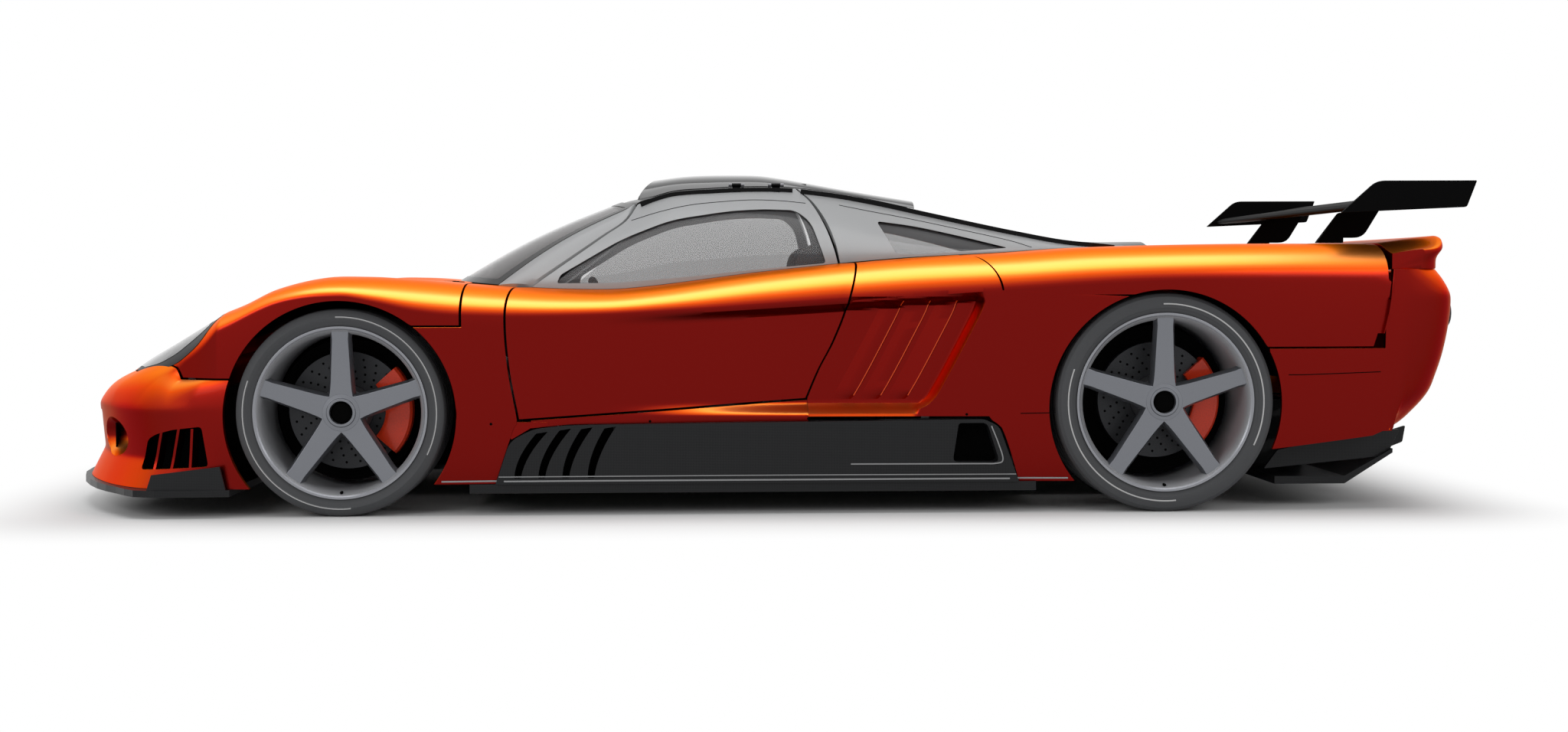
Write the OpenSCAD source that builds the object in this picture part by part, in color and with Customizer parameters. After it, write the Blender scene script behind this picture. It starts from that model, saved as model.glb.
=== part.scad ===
// Low mid-engined two-seat coupe. Nose towards -X, left side towards -Y, ground at z = 0.

/* [Overall size] */
// Distance between the axles
wheelbase = 2700; // [2500:10:3300]
// Splitter tip to front axle
front_overhang = 1050; // [950:10:1300]
// Rear axle to the rear edge of the wing
rear_overhang = 1070; // [980:10:1300]
// Width over the rear haunches
car_width = 1990; // [1800:10:2400]
// Ground to the top of the roof scoop
car_height = 1155; // [1120:5:1400]

/* [Wheels] */
// Outer radius of a front tyre
front_tyre_r = 338; // [315:1:350]
// Outer radius of a rear tyre
rear_tyre_r = 362; // [340:1:372]
// Width of a front tyre
front_tyre_w = 275; // [200:5:280]
// Width of a rear tyre
rear_tyre_w = 335; // [260:5:345]
// Outer radius of a front rim
front_rim_r = 282; // [240:1:300]
// Outer radius of a rear rim
rear_rim_r = 296; // [250:1:315]
// Radius of the brake discs
disc_r = 195; // [150:1:200]
// Thickness of the brake discs
disc_t = 34; // [20:1:40]
// Radius of the spindle that a wheel turns on
spindle_r = 28; // [18:1:30]
// Gap all round a spindle in its bore
spindle_gap = 0.05; // [0.02:0.01:0.1]
// Number of spokes in a rim
spokes = 5; // [4:1:7]
// Gap between a tyre and its wheel arch
arch_gap = 36; // [26:1:44]

/* [Panels] */
// Gap between panels that open and their neighbours
shut_gap = 6; // [5:0.5:8]
// Gap between fixed panels
seam = 0.5; // [0.3:0.1:0.9]
// Thickness of the outer panels
skin_t = 16; // [8:1:24]
// Thickness of a door below the window
door_t = 60; // [40:2:80]
// Thickness of the window glass
glass_t = 6; // [4:1:10]
// Radius of a lid hinge pin
pin_r = 8; // [5:0.5:10]
// Gap all round a hinge pin in its bore
pin_gap = 0.05; // [0.02:0.01:0.1]

/* [Underbody] */
// Height of the underside above the ground
ride_height = 72; // [60:2:110]
// Thickness of the floor
floor_t = 30; // [20:2:40]
// Thickness of the splitter
splitter_t = 22; // [12:1:30]

/* [Wing] */
// Span of the wing over its end plates
wing_span = 1760; // [1400:10:1900]
// Thickness of an end plate
end_plate_t = 14; // [8:1:20]
// Distance between the two pylons
pylon_span = 910; // [600:10:1200]
// Thickness of a pylon
pylon_t = 22; // [12:1:30]

/* [Cabin] */
// Radius of the steering wheel
wheel_r = 175; // [150:5:200]
// Width of a seat
seat_w = 480; // [400:10:520]
// Distance of a seat's middle from the middle of the car
seat_y = 340; // [300:5:380]

/* [Hidden] */
$fn = 64;

// Design size that the shape lines below are drawn at
base_wheelbase = 2700;
base_front = 1050;
base_rear = 1070;
base_width = 1990;
base_height = 1155;
base_front_axle = -1360;
base_rear_axle = 1340;

car_length = front_overhang + wheelbase + rear_overhang;
front_axle_x = -car_length / 2 + front_overhang;
rear_axle_x = front_axle_x + wheelbase;
front_arch_r = front_tyre_r + arch_gap;
rear_arch_r = rear_tyre_r + arch_gap - 12;
front_arch_z = front_tyre_r - 10;
rear_arch_z = rear_tyre_r - 14;
floor_top = ride_height + floor_t;

orange = [0.90, 0.33, 0.05];
carbon = [0.07, 0.07, 0.08];
gloss_black = [0.03, 0.03, 0.03];
silver = [0.62, 0.63, 0.66];
glass_grey = [0.35, 0.37, 0.40, 0.5];

// From the design size to the real size
function sx(x) = x <= base_front_axle ? front_axle_x + (x - base_front_axle) * front_overhang / base_front
    : x <= base_rear_axle ? front_axle_x + (x - base_front_axle) * wheelbase / base_wheelbase
    : rear_axle_x + (x - base_rear_axle) * rear_overhang / base_rear;
function sy(y) = y * car_width / base_width;
function sz(z) = z * car_height / base_height;
function real(p) = [sx(p[0]), sy(p[1]), sz(p[2])];

// Smooth line through hand-chosen points
function span(t, x, i = 0) = (i >= len(t) - 2 || x < t[i + 1][0]) ? i : span(t, x, i + 1);
function grade(t, i) = let (a = max(0, i - 1), b = min(len(t) - 1,
    i + 1)) (t[b][1] - t[a][1]) / (t[b][0] - t[a][0]);
function curve(t, x) = let (c = min(max(x, t[0][0]), t[len(t) - 1][0]), i = span(t, c),
    h = t[i + 1][0] - t[i][0],
    u = (c - t[i][0]) / h, m = grade(t, i) * h, n = grade(t, i + 1) * h, p = t[i][1], q = t[i + 1][1])
    (2 * p - 2 * q + m + n) * pow(u, 3) + (3 * q - 3 * p - 2 * m - n) * u * u + m * u + p;
function mix(a, b, t) = a + (b - a) * t;
function step01(t) = let (c = min(max(t, 0), 1)) c * c * (3 - 2 * c);
function unit(v) = v / max(norm(v), 1e-9);

// A plate between an outer and an inner grid of points. keep says which cells are there.
module plate(outer, inner, keep = function(i, j) true) {
    ni = len(outer) - 1;
    nj = len(outer[0]) - 1;
    count = (ni + 1) * (nj + 1);
    function id(i, j) = i * (nj + 1) + j;
    function on(i, j) = i >= 0 && j >= 0 && i < ni && j < nj && keep(i, j);
    quads = [for (i = [0 : ni - 1]) for (j = [0 : nj - 1]) if (on(i, j))
        let (a = id(i, j), b = id(i + 1, j), c = id(i + 1, j + 1), d = id(i, j + 1)) each [
            [a, d, c, b],
            [a + count, b + count, c + count, d + count],
            if (!on(i, j - 1)) [a, b, b + count, a + count],
            if (!on(i, j + 1)) [c, d, d + count, c + count],
            if (!on(i - 1, j)) [d, a, a + count, d + count],
            if (!on(i + 1, j)) [b, c, c + count, b + count]]];
    polyhedron([for (r = outer) each r, for (r = inner) each r],
        [for (q = quads) each [[q[0], q[1], q[2]], [q[0], q[2], q[3]]]], convexity = 8);
}

// Grid moved inwards along its own normals
function inset(g, t) = let (ni = len(g) - 1, nj = len(g[0]) - 1)
    [for (i = [0 : ni]) [for (j = [0 : nj])
        g[i][j] - t * unit(cross(g[min(i + 1, ni)][j] - g[max(i - 1, 0)][j],
            g[i][min(j + 1, nj)] - g[i][max(j - 1, 0)]))]];

// Closed solid through a row of outlines with equal numbers of points
module loft(rings) {
    n = len(rings[0]);
    last = len(rings) - 1;
    quads = [for (i = [0 : last - 1]) for (k = [0 : n - 1])
        let (a = i * n + k, b = i * n + (k + 1) % n) [a, b, b + n, a + n]];
    polyhedron([for (r = rings) each r],
        concat([for (q = quads) each [[q[0], q[1], q[2]], [q[0], q[2], q[3]]]],
            [[for (k = [n - 1 : -1 : 0]) k]], [[for (k = [0 : n - 1]) last * n + k]]), convexity = 6);
}

module both_sides() {
    children();
    mirror([0, 1, 0]) children();
}

// Shape lines: height or half width along the car
crest_z = [[-2353, 352], [-2216, 465], [-2008, 568], [-1776, 657], [-1685, 693], [-1585, 741], [-1433, 777],
    [-1295, 780], [-1169, 773], [-854, 747], [-636, 735], [-431, 737], [28, 793], [465, 836], [850, 858],
    [1129, 876], [1600, 887], [2100, 886], [2350, 884]];
crest_y = [[-2353, 560], [-2216, 620], [-2008, 700], [-1700, 738], [-1360, 748], [-900, 735], [28, 752],
    [850, 760], [1340, 775], [2100, 770], [2350, 740]];
middle_z = [[-2353, 350], [-2216, 425], [-2000, 512], [-1700, 610], [-1360, 695], [-1076, 765], [-600, 820],
    [900, 900], [1467, 897], [2100, 892], [2350, 888]];
side_y = [[-2353, 700], [-2216, 780], [-2059, 862], [-1900, 925], [-1738, 960], [-1360, 985], [-972, 972],
    [-700, 957], [-300, 942], [155, 938], [465, 950], [850, 972], [1340, 995], [1740, 990], [2100, 966],
    [2250, 930], [2350, 880]];
side_z = [[-2353, 330], [-2216, 430], [-2059, 484], [-1900, 540], [-1738, 610], [-1550, 695], [-1360, 716],
    [-1250, 698], [-1118, 668], [-977, 653], [-700, 650], [-300, 664], [273, 697], [724, 727], [1286, 763],
    [1736, 771], [2100, 768], [2350, 766]];
belt_y = [[-868, 672], [-700, 694], [-400, 706], [0, 708], [275, 700], [480, 680], [700, 632], [900, 560],
    [1209, 400], [1467, 200]];
strip_z = [[-868, 790], [-559, 955], [-412, 1033], [-293, 1076], [-152, 1088], [-65, 1093], [88, 1094],
    [189, 1087], [365, 1062], [597, 1014], [950, 940], [1209, 896], [1467, 893]];
strip_y = [[-868, 580], [-559, 450], [-412, 385], [-152, 365], [189, 355], [597, 300], [950, 245], [1209,
    195],
    [1467, 120]];
scoop_z = [[-354, 1135], [-225, 1151], [-57, 1155], [58, 1150], [344, 1101], [785, 1031]];

function belt_z(x) = curve(crest_z, x) + 4;
function nose_bow(x) = 0.00042 * min(max((-1750 - x) / 603, 0), 1);
function tail_bow(x) = 60 * step01((x - 2000) / 350);
function bowed(p) = [p[0] + nose_bow(p[0]) * p[1] * p[1] - tail_bow(p[0]) * pow(p[1] / 930, 4), p[1], p[2]];

// Point on the body at station x. w: 0 middle, 1 crest, 2 shoulder, 3 at height low.
function body_point(x, w, low) = let (cy = curve(crest_y, x), cz = curve(crest_z, x), oy = curve(side_y, x),
    oz = curve(side_z, x), mz = curve(middle_z, x)) bowed(
    w <= 1 ? [x, cy * w, mix(mz, cz, step01(w))]
    : w <= 2 ? [x, mix(cy, oy, sin(90 * (w - 1))), mix(oz, cz, cos(90 * (w - 1)))]
    : [x, side_width(x, mix(oz, low, w - 2)), mix(oz, low, w - 2)]);

// Hollow in the flank that feeds the side intake
function scoop_depth(x, z) = 70 * step01((x + 560) / 900) * step01((z - 318) / 60) * step01((curve(side_z,
    x) - 4 - z) / 30)
    * (1 - step01((x - intake_rear(z) + 26) / 24));
function intake_rear(z) = curve([[341, 530], [360, 562], [393, 590], [600, 700], [690, 742], [727, 742]], z);
// Half width of the side below the shoulder
function side_width(x, z) = let (oz = curve(side_z, x), d = max(oz - z, 0))
    curve(side_y, x) - 34 * pow(d / 600, 2) - scoop_depth(x, z);
// Half width of the glasshouse
function glass_width(x, z) = let (zb = belt_z(x), t = min(max((z - zb) / (curve(strip_z, x) - zb), 0), 1))
    mix(curve(belt_y, x), curve(strip_y, x), pow(t, 1.6));

// Arch edges, in design heights
function arch_dx(r, cz, z) = let (h = sz(z) - cz) sqrt(max(r * r - h * h, 0));
function unscale_x(x) = x <= front_axle_x ? base_front_axle + (x - front_axle_x) * base_front / front_overhang
    : x <= rear_axle_x ? base_front_axle + (x - front_axle_x) * base_wheelbase / wheelbase
    : base_rear_axle + (x - rear_axle_x) * base_rear / rear_overhang;
function front_arch_top(x) = let (d = sx(x) - front_axle_x)
    (front_arch_z + sqrt(max(front_arch_r * front_arch_r - d * d, 0))) * base_height / car_height;
function rear_arch_top(x) = let (d = sx(x) - rear_axle_x)
    (rear_arch_z + sqrt(max(rear_arch_r * rear_arch_r - d * d, 0))) * base_height / car_height;
function front_arch_x(z, side) = unscale_x(front_axle_x + side * arch_dx(front_arch_r, front_arch_z, z));
function rear_arch_x(z, side) = unscale_x(rear_axle_x + side * arch_dx(rear_arch_r, rear_arch_z, z));

// ---- floor ----
rail_y = 260;
rear_rail_y = 330;
rail_t = 30;
sill_y = 760;
sill_h = 150;
floor_half = 945;
tail_end = 1985;
jack_r = 20;
jack_depth = 18;
pad_h = 22;
front_cut_x = front_axle_x + front_arch_r + 40;
rear_cut_x = rear_axle_x - rear_arch_r - 40;
beam_end = 2290;
module floor_tub() {
    color(carbon) {
        translate([front_cut_x, -sy(floor_half), ride_height]) cube([rear_cut_x - front_cut_x,
            sy(2 * floor_half), floor_t]);
        // sills
        both_sides() translate([front_cut_x + 60, sy(sill_y - 90),
            floor_top]) cube([rear_cut_x - front_cut_x - 120, sy(90), sill_h]);
        // front bulkhead
        translate([sx(-935), -sy(640), floor_top]) cube([30, sy(1280), sz(640) - floor_top]);
    }
}
// Luggage box between the front wheels
module front_box() {
    low = front_cut_x - 0.3;
    back = sx(-935) - 0.3;
    color(carbon) {
        both_sides() translate([0, sy(rail_y) + rail_t, 0]) rotate([90, 0,
            0]) linear_extrude(rail_t) polygon([
            [sx(-2030), splitter_top], [low, splitter_top], [low, floor_top + 0.3], [back, floor_top + 0.3],
            [back, sz(520)], [sx(-1620), sz(520)], [sx(-2030), sz(300)]]);
        translate([sx(-2030), -sy(rail_y + 30), splitter_top]) cube([low - sx(-2030), sy(2 * rail_y + 60),
            floor_t]);
        translate([sx(-2030), -sy(rail_y), splitter_top]) cube([30, sy(2 * rail_y), sz(208)]);
    }
}
// Rear floor, rails beside the engine, and the beams that carry the tail
module rear_frame() {
    tail = sx(tail_end);
    start = rear_cut_x + 0.3;
    color(carbon) {
        both_sides() {
            translate([sx(470), sy(rear_rail_y), floor_top + 0.3]) cube([tail - sx(470), rail_t, sz(230)]);
            translate([start, sy(rear_rail_y), floor_top - 1]) cube([tail - start, rail_t, 2]);
            translate([tail - rail_t, sy(rear_rail_y), sz(300)]) cube([rail_t, rail_t, sz(160)]);
            translate([tail - rail_t, sy(rear_rail_y), sz(420)]) cube([sx(beam_end) - tail + rail_t,
                rail_t, sz(40)]);
        }
        translate([start, -sy(420), ride_height]) cube([tail - start, sy(840), floor_t]);
        translate([tail - rail_t, -sy(rear_rail_y), floor_top - 1]) cube([rail_t, sy(2 * rear_rail_y),
            sz(230)]);
    }
}
// Pads under the sills that a jack's pin goes up into
module jack_pads() {
    color(silver) for (x = [front_cut_x + 130, rear_cut_x - 130]) for (s = [-1, 1])
        translate([x, s * sy(700), ride_height - 0.3 - pad_h]) difference() {
            cylinder(r = 36, h = pad_h);
            translate([0, 0, -1]) cylinder(r = jack_r, h = jack_depth + 1);
        }
}

// ---- splitter ----
splitter_plan = [[-2410, 0], [-2357, 350], [-2232, 660], [-2100, 860], [-1985, 984], [-1712, 984]];
module front_splitter() {
    // plan points follow the nose, a little ahead of it
    near = [for (i = [0 : 12]) let (t = i / 12 * (len(splitter_plan) - 1)) [sx(curve([for (k = [0 : 5]) [k,
        splitter_plan[k][0]]], t)),
        sy(curve([for (k = [0 : 5]) [k, splitter_plan[k][1]]], t))]];
    rear_x = sx(-1712);
    outline = concat(near, [for (i = [12 : -1 : 1]) [near[i][0], -near[i][1]]]);
    color(carbon) {
        translate([0, 0, splitter_z]) linear_extrude(splitter_t) polygon(outline);
        // upright side fins
        both_sides() translate([0, sy(984), splitter_top]) rotate([90, 0, 0]) linear_extrude(10)
            polygon([[sx(-1976), 0], [sx(-1724), 0], [sx(-1742), sz(76)], [sx(-1960), sz(50)]]);
    }
}
splitter_z = 70;
splitter_top = splitter_z + splitter_t;

// ---- nose ----
// Rim below the clamshell, as stations and shares of the way down the body
nose_rim = [[-2223, 0], [-2223, 0.5], [-2223, 1], [-2071, 2], [-2044, 3], [-1713, 3]];
function nose_top(a) = let (t = a * 5, k = min(floor(t), 4), q = mix(nose_rim[k], nose_rim[k + 1],
    t - k)) body_point(q[0], q[1], nose_side_z);
nose_side_z = 445;
nose_edge = [[-2353, 0, 345], [-2302, 350, 345], [-2190, 622, 345], [-2062, 812, 345], [-1920, 916, 350],
    [-1733, 966, 360]];
nose_low = [[-2335, 0, 190], [-2284, 350, 190], [-2172, 630, 190], [-2045, 818, 190], [-1915, 922, 190],
    [-1708, 968, 190]];
nose_lip = [[-2385, 0, 93], [-2334, 350, 93], [-2215, 640, 93], [-2078, 842, 93], [-1935, 936, 93], [-1660,
    966, 93]];
function along(line, a) = let (t = a * 5) [for (k = [0 : 2]) curve([for (i = [0 : 5]) [i, line[i][k]]], t)];
// Point on the nose: a from the middle to the arch, b from the seam down to the lip
nose_rows = [0, 0.5, 1, 1.16, 1.39, 1.94, 2.36, 3];
function nose_point(a, b) = let (p = b <= 1 ? mix(nose_top(a), along(nose_edge, a), b)
    + [-12 * sin(180 * b), 0, 14 * sin(180 * b)]
    : b <= 2 ? mix(along(nose_edge, a), along(nose_low, a), b - 1)
    : mix(along(nose_low, a), along(nose_lip, a), b - 2)) p;
module front_bumper() {
    cols = [0, 0.07, 0.14, 0.2, 0.27, 0.34, 0.4, 0.5, 0.55, 0.6, 0.67, 0.74, 0.8, 0.9, 1];
    half = [for (a = cols) [for (b = nose_rows) let (p = nose_point(a, b))
        real([a == 1 ? front_arch_x(p[2], -1) : p[0], p[1], p[2]])]];
    left = [for (i = [len(cols) - 1 : -1 : 1]) [for (p = half[i]) [p[0], -p[1], p[2]]]];
    g = concat(left, half);
    flat = [for (r = g) [for (k = [0 : 7]) k == 7 ? [r[k][0], r[k][1], splitter_top] : r[k]]];
    inner = level_rim(flat, inset(flat, skin_t));
    mid = len(cols) - 1;
    color(orange) plate(flat, inner, function(i, j)
        let (c = i < mid ? mid - 1 - i : i - mid)
        !((c < 4 && j >= 3 && j < 5) || (c >= 9 && c < 13 && j >= 4 && j < 6)));
}

// ---- front clamshell ----
seam_front = -972;
groove_z = 622;
function clam_low(x) = x < -1360 ? max(nose_side_z + 7, front_arch_top(x)) : max(groove_z, front_arch_top(x));
function clam_reach(x) = x < -2059 ? mix(1, 2, (x + 2216) / 157) : x < -2030 ? mix(2, 3, (x + 2059) / 29) : 3;
clam_cols = [-2216, -2160, -2110, -2059, -2030, -1950, -1870, -1800, -1745, -1722, -1700, -1670, -1630,
    -1580, -1500,
    -1420, -1360, -1290, -1220, -1170, -1126, -1070, -1020, seam_front];
clam_steps = [0, 0.09, 0.18, 0.27, 0.34, 0.42, 0.5, 0.58, 0.66, 0.75, 0.84, 0.92, 1];
clam_half = [for (x = clam_cols) [for (v = clam_steps) real(clam_point(x, v * clam_reach(x)))]];
clam_grid = [for (r = clam_half) concat([for (k = [len(r) - 1 : -1 : 1]) [r[k][0], -r[k][1], r[k][2]]], r)];
clam_mid = len(clam_steps) - 1;
module front_clamshell() {
    g = clam_grid;
    inner = raised_rims(g, inset(g, skin_t));
    // the front and rear edges are cut back inside, so that they clear the panels beside them
    bevelled = [for (i = [0 : len(g) - 1]) [for (p = inner[i]) i == 0 ? p + [edge_bevel, 0, edge_bevel / 3]
        : i == len(g) - 1 ? p - [edge_bevel / 2, 0, 0] : p]];
    color(orange) plate(g, bevelled);
}
edge_bevel = 12;
// The inside of a lid's side edges is no lower than the outside
function raised_rims(g, h) = let (last = len(g[0]) - 1) [for (i = [0 : len(g) - 1]) [for (j = [0 : last])
    (j == 0 || j == last) ? [h[i][j][0], h[i][j][1], max(h[i][j][2], g[i][j][2])] : h[i][j]]];
// The rear edge follows the foot of the windscreen
function clam_point(x, w) = let (p = body_point(x, w, clam_low(x)),
    xt = x <= -1126 ? x : mix(-1126, scuttle_x(p[1]), (x + 1126) / (seam_front + 1126))) body_point(xt, w,
        clam_low(xt));
function scuttle_x(y) = min(seam_front, curve([[0, -1081], [300, -1052], [450, -1014], [560, -974], [1000,
    -974]], y));

// ---- headlamps ----
// Each lamp is lifted one way, so it stays clear of the lid where the lid twists
module headlamps() {
    color([0.3, 0.3, 0.32]) for (s = [-1, 1]) {
        k = s < 0 ? clam_mid - 8 : clam_mid + 5;
        g = window(clam_grid, 2, 7, k, k + 3);
        plate(shifted(g, 3.9 * [-0.5, 0.5 * s, 0.7]), shifted(g, 0.9 * [-0.5, 0.5 * s, 0.7]));
    }
}
function shifted(g, v) = [for (r = g) [for (p = r) p + v]];

// ---- windscreen ----
screen_foot = [[-1071, 0, 765], [-1060, 150, 765], [-1041, 300, 764], [-1003, 450, 762], [-940, 580, 757],
    [-874, 668, 752]];
screen_head = [[-484, 0, 1050], [-482, 80, 1050], [-474, 160, 1049], [-460, 240, 1045], [-440, 310, 1039],
    [-418, 376, 1032]];
function screen_point(a, b) = mix(along(screen_foot, a), along(screen_head, a), b) + [-14 * sin(180 * b),
    0, 16 * sin(180 * b)];
module windscreen() {
    as = [-1, -0.8, -0.6, -0.4, -0.2, 0, 0.2, 0.4, 0.6, 0.8, 1];
    g = [for (b = [0, 0.2, 0.4, 0.6, 0.8, 1]) [for (a = as) let (p = screen_point(abs(a), b)) real([p[0],
        sign(a) * p[1], p[2]])]];
    color(glass_grey) plate(g, sunk(g, glass_t));
}
// Grid moved down and back, square to the windscreen
function sunk(g, t) = [for (r = g) [for (p = r) p + t * [0.42, 0, -0.91]]];

// ---- roof ----
door_front_low = [[0, -783, 315], [0.5, -812, 470], [1, -823, 645], [2, -805, 738], [3, -759, 750]];
door_rear_low = [[0, 155, 376], [0.3, 196, 460], [0.6, 246, 560], [1, 292, 690], [2, 325, 812], [3, 276,
    822]];
door_front_high = [[0, -759, 750], [0.35, -620, 850], [0.65, -515, 926], [0.85, -447, 975], [1, -409, 1034]];
door_rear_high = [[0, 276, 822], [0.3, 262, 880], [0.6, 236, 960], [0.85, 196, 1040], [1, 150, 1088]];
door_gap = shut_gap + 1.4;
frame_gap = shut_gap + 2;
frame_end = 1467;
frame_cols = [0, 0.113, 0.19, 0.28, 0.37, 0.45, 0.52, 0.68, 0.84, 1];
roof_crown = 16;
roof_t = 18;
roof_split = cut_x(door_rear_high, 1) + frame_gap;
roof_cols = concat([-412, -350, -250, -150, -50, 60, 148], [for (c = frame_cols) mix(roof_split, frame_end,
    c)]);
roof_ks = [-1, -0.75, -0.4, 0, 0.4, 0.75, 1];
function roof_edge(x) = curve(strip_y, x) - (x < -400 ? door_gap + 1.4 : x < 155 ? door_gap : seam);
function roof_top(x, y) = curve(strip_z, x) + roof_crown * (1 - pow(y / roof_edge(x), 2));
module roof_panel() {
    g = [for (x = roof_cols) [for (k = roof_ks) let (y = k * roof_edge(x))
        real([x < -400 ? curve([for (p = screen_head) [p[1], p[0] + 3.9]], abs(y)) : x, y, roof_top(x, y)])]];
    color(gloss_black) plate(g, lowered(g, roof_t));
}
function lowered(g, t) = [for (r = g) [for (p = r) p - [0, 0, t]]];
module roof_scoop() {
    cols = [-350, -250, -150, -50, 60, 189, 320, 460, 600];
    g = [for (x = cols) let (z1 = curve(scoop_z, x), e = mix(250, 130, (x + 350) / 950))
        [for (k = [-1, -0.9, -0.65, -0.3, 0, 0.3, 0.65, 0.9, 1]) let (z0 = roof_top(x, k * e) + 1.8)
            real([x - 70 * pow(abs(k), 3) * step01((0 - x) / 350), k * e, mix(z0, max(z1, z0 + 10),
                pow(1 - pow(abs(k), 3), 0.7))])]];
    inner = inset(g, 8);
    flat = [for (i = [0 : len(g) - 1]) [for (j = [0 : 8]) (j == 0 || j == 8) ? g[i][j] - [0,
        sign(g[i][j][1]) * 8, 0] : inner[i][j]]];
    color(gloss_black) plate(g, flat);
}

// ---- glasshouse sides ----
function cut_x(t, h) = curve([for (p = t) [p[0], p[1]]], h);
function cut_z(t, h) = curve([for (p = t) [p[0], p[2]]], h);
// Point on the side of the glasshouse: c along the car, r up from the belt
function glass_point(front, rear, c, r) = let (
    xf = cut_x(front, r), xr = cut_x(rear, r), x = mix(xf, xr, c),
    zf = cut_z(front, r), zr = cut_z(rear, r),
    x0 = mix(cut_x(front, 0), cut_x(rear, 0), c), x1 = mix(cut_x(front, 1), cut_x(rear, 1), c),
    z0 = belt_z(x0), z1 = curve(strip_z, x1),
    q0 = mix(cut_z(front, 0), cut_z(rear, 0), c), q1 = mix(cut_z(front, 1), cut_z(rear, 1), c),
    z = mix(zf, zr, c) + mix(z0 - q0, z1 - q1, r))
    [x, glass_width(x, z), z];

frame_t = 22;
// Height of the quarter window as a share of the side, front to back
quarter_top = [[0, 0.62], [0.113, 0.66], [0.28, 0.58], [0.37, 0.48], [0.52, 0.16], [1, 0.16]];
function frame_row(k, c) = let (t = curve(quarter_top, c)) [1, 0.86, t, 0.68 * t, 0.36 * t, 0.03, 0][k];
function quarter_point(c, k) = let (r = frame_row(k, c), x = mix(cut_x(door_rear_high, r) + frame_gap,
    frame_end, c),
    z0 = belt_z(x), z1 = curve(strip_z, x), z = mix(z0, max(z1, z0 + 6), r)) real([x, glass_width(x, z), z]);
frame_grid = [for (c = frame_cols) [for (k = [0 : 6]) quarter_point(c, k)]];
// Inner side of a grid whose first row runs along the roof strip
function under_strip(g, t) = let (h = inset(g, t))
    [for (i = [0 : len(g) - 1]) [for (j = [0 : len(g[0]) - 1]) j == 0 ? g[i][j] - [0, 0, t] : h[i][j]]];
module cabin_frame() {
    pillar = [for (b = [0, 0.25, 0.5, 0.75, 1]) let (p = screen_point(1, b) + [0.2, 0.6, -b],
        q = pillar_rear(b))
        [real(p), real(mix(p, q, 0.5) + [-4, 6, 4]), real(q)]];
    color([0.45, 0.46, 0.48]) both_sides() {
        plate(frame_grid, under_strip(frame_grid, frame_t), function(i,
            j) !(i >= 1 && i < 6 && j >= 2 && j < 5));
        // post down to the rear bulkhead
        translate([sx(402), sy(600) + 0.3, sz(700)]) cube([26, sy(88), sz(128)]);
        plate(pillar, [for (i = [0 : 4]) [for (k = [0 : 2]) pillar[i][k] + frame_t * [k == 2 || (i == 4 && k == 1) ? -0.06 : 0.42, 0, -0.91]]]);
        // foot on the front bulkhead
        translate([sx(-935) + 30.3, sy(618), sz(560)]) cube([36, 20, sz(176)]);
    }
}
function pillar_rear(b) = let (x = cut_x(door_front_high, b) - shut_gap - 3.5, z = cut_z(door_front_high,
    b) + 3 - 3 * b) [x, glass_width(x, z), z];
module quarter_glass() {
    inner = inset(frame_grid, glass_t);
    color(glass_grey) both_sides() plate(shrink(window(frame_grid, 1, 6, 2, 5)), shrink(window(inner, 1, 6,
        2, 5)));
}
function window(g, i0, i1, j0, j1) = [for (i = [i0 : i1]) [for (j = [j0 : j1]) g[i][j]]];
// Grid drawn in by a hair so that it sits inside its own window
function shrink(g) = let (ni = len(g) - 1, nj = len(g[0]) - 1, s = 0.004)
    [for (i = [0 : ni]) [for (j = [0 : nj]) let (p = g[i][j], m = g[floor(ni / 2)][floor(nj / 2)]) mix(p,
        m, s)]];

// ---- sides ----
groove_gap_z = groove_z - shut_gap;
low_z = floor_top * base_height / car_height;
module front_side_panels() {
    zs = [groove_gap_z, 540, 450, 330, 200, low_z];
    ws = [0.94, 1, 1.35, 1.7, 2];
    first = seam_front + shut_gap;
    g = [for (c = [0, 0.5, 1, 1.4, 2]) concat(
        [for (w = ws) real(body_point(side_panel_x(first, c, 745, min(3 - w, 2.5)), w, 0))],
        [for (z = zs) let (x = side_panel_x(first, c, z, (z - 315) / 338)) real([x, side_width(x, z), z])])];
    color(orange) both_sides() {
        plate(g, level_rim(g, inset(g, skin_t)), function(i, j) i >= 2 || j >= 5);
        sill_strip();
    }
}
// c: 0 arch edge, 1 the line behind the clamshell, 2 the door
function side_panel_x(first, c, z, h) = c <= 1 ? mix(min(front_arch_x(min(z, groove_gap_z), 1), first - 4),
    first, c)
    : mix(first, min(cut_x(door_front_low, h) - door_gap, pod_front_x(z) - seam), c - 1);
function pod_front_x(z) = z > 290 ? 0 : mix(pod_line[0][0], pod_line[1][0],
    (z - low_z) / (pod_line[1][1] - low_z));
// Bottom rim kept level so that it stands flat on the floor
function level_rim(g, h) = let (last = len(g[0]) - 1)
    [for (i = [0 : len(g) - 1]) [for (j = [0 : last]) j == last ? [h[i][j][0], h[i][j][1],
        g[i][j][2]] : h[i][j]]];

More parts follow.
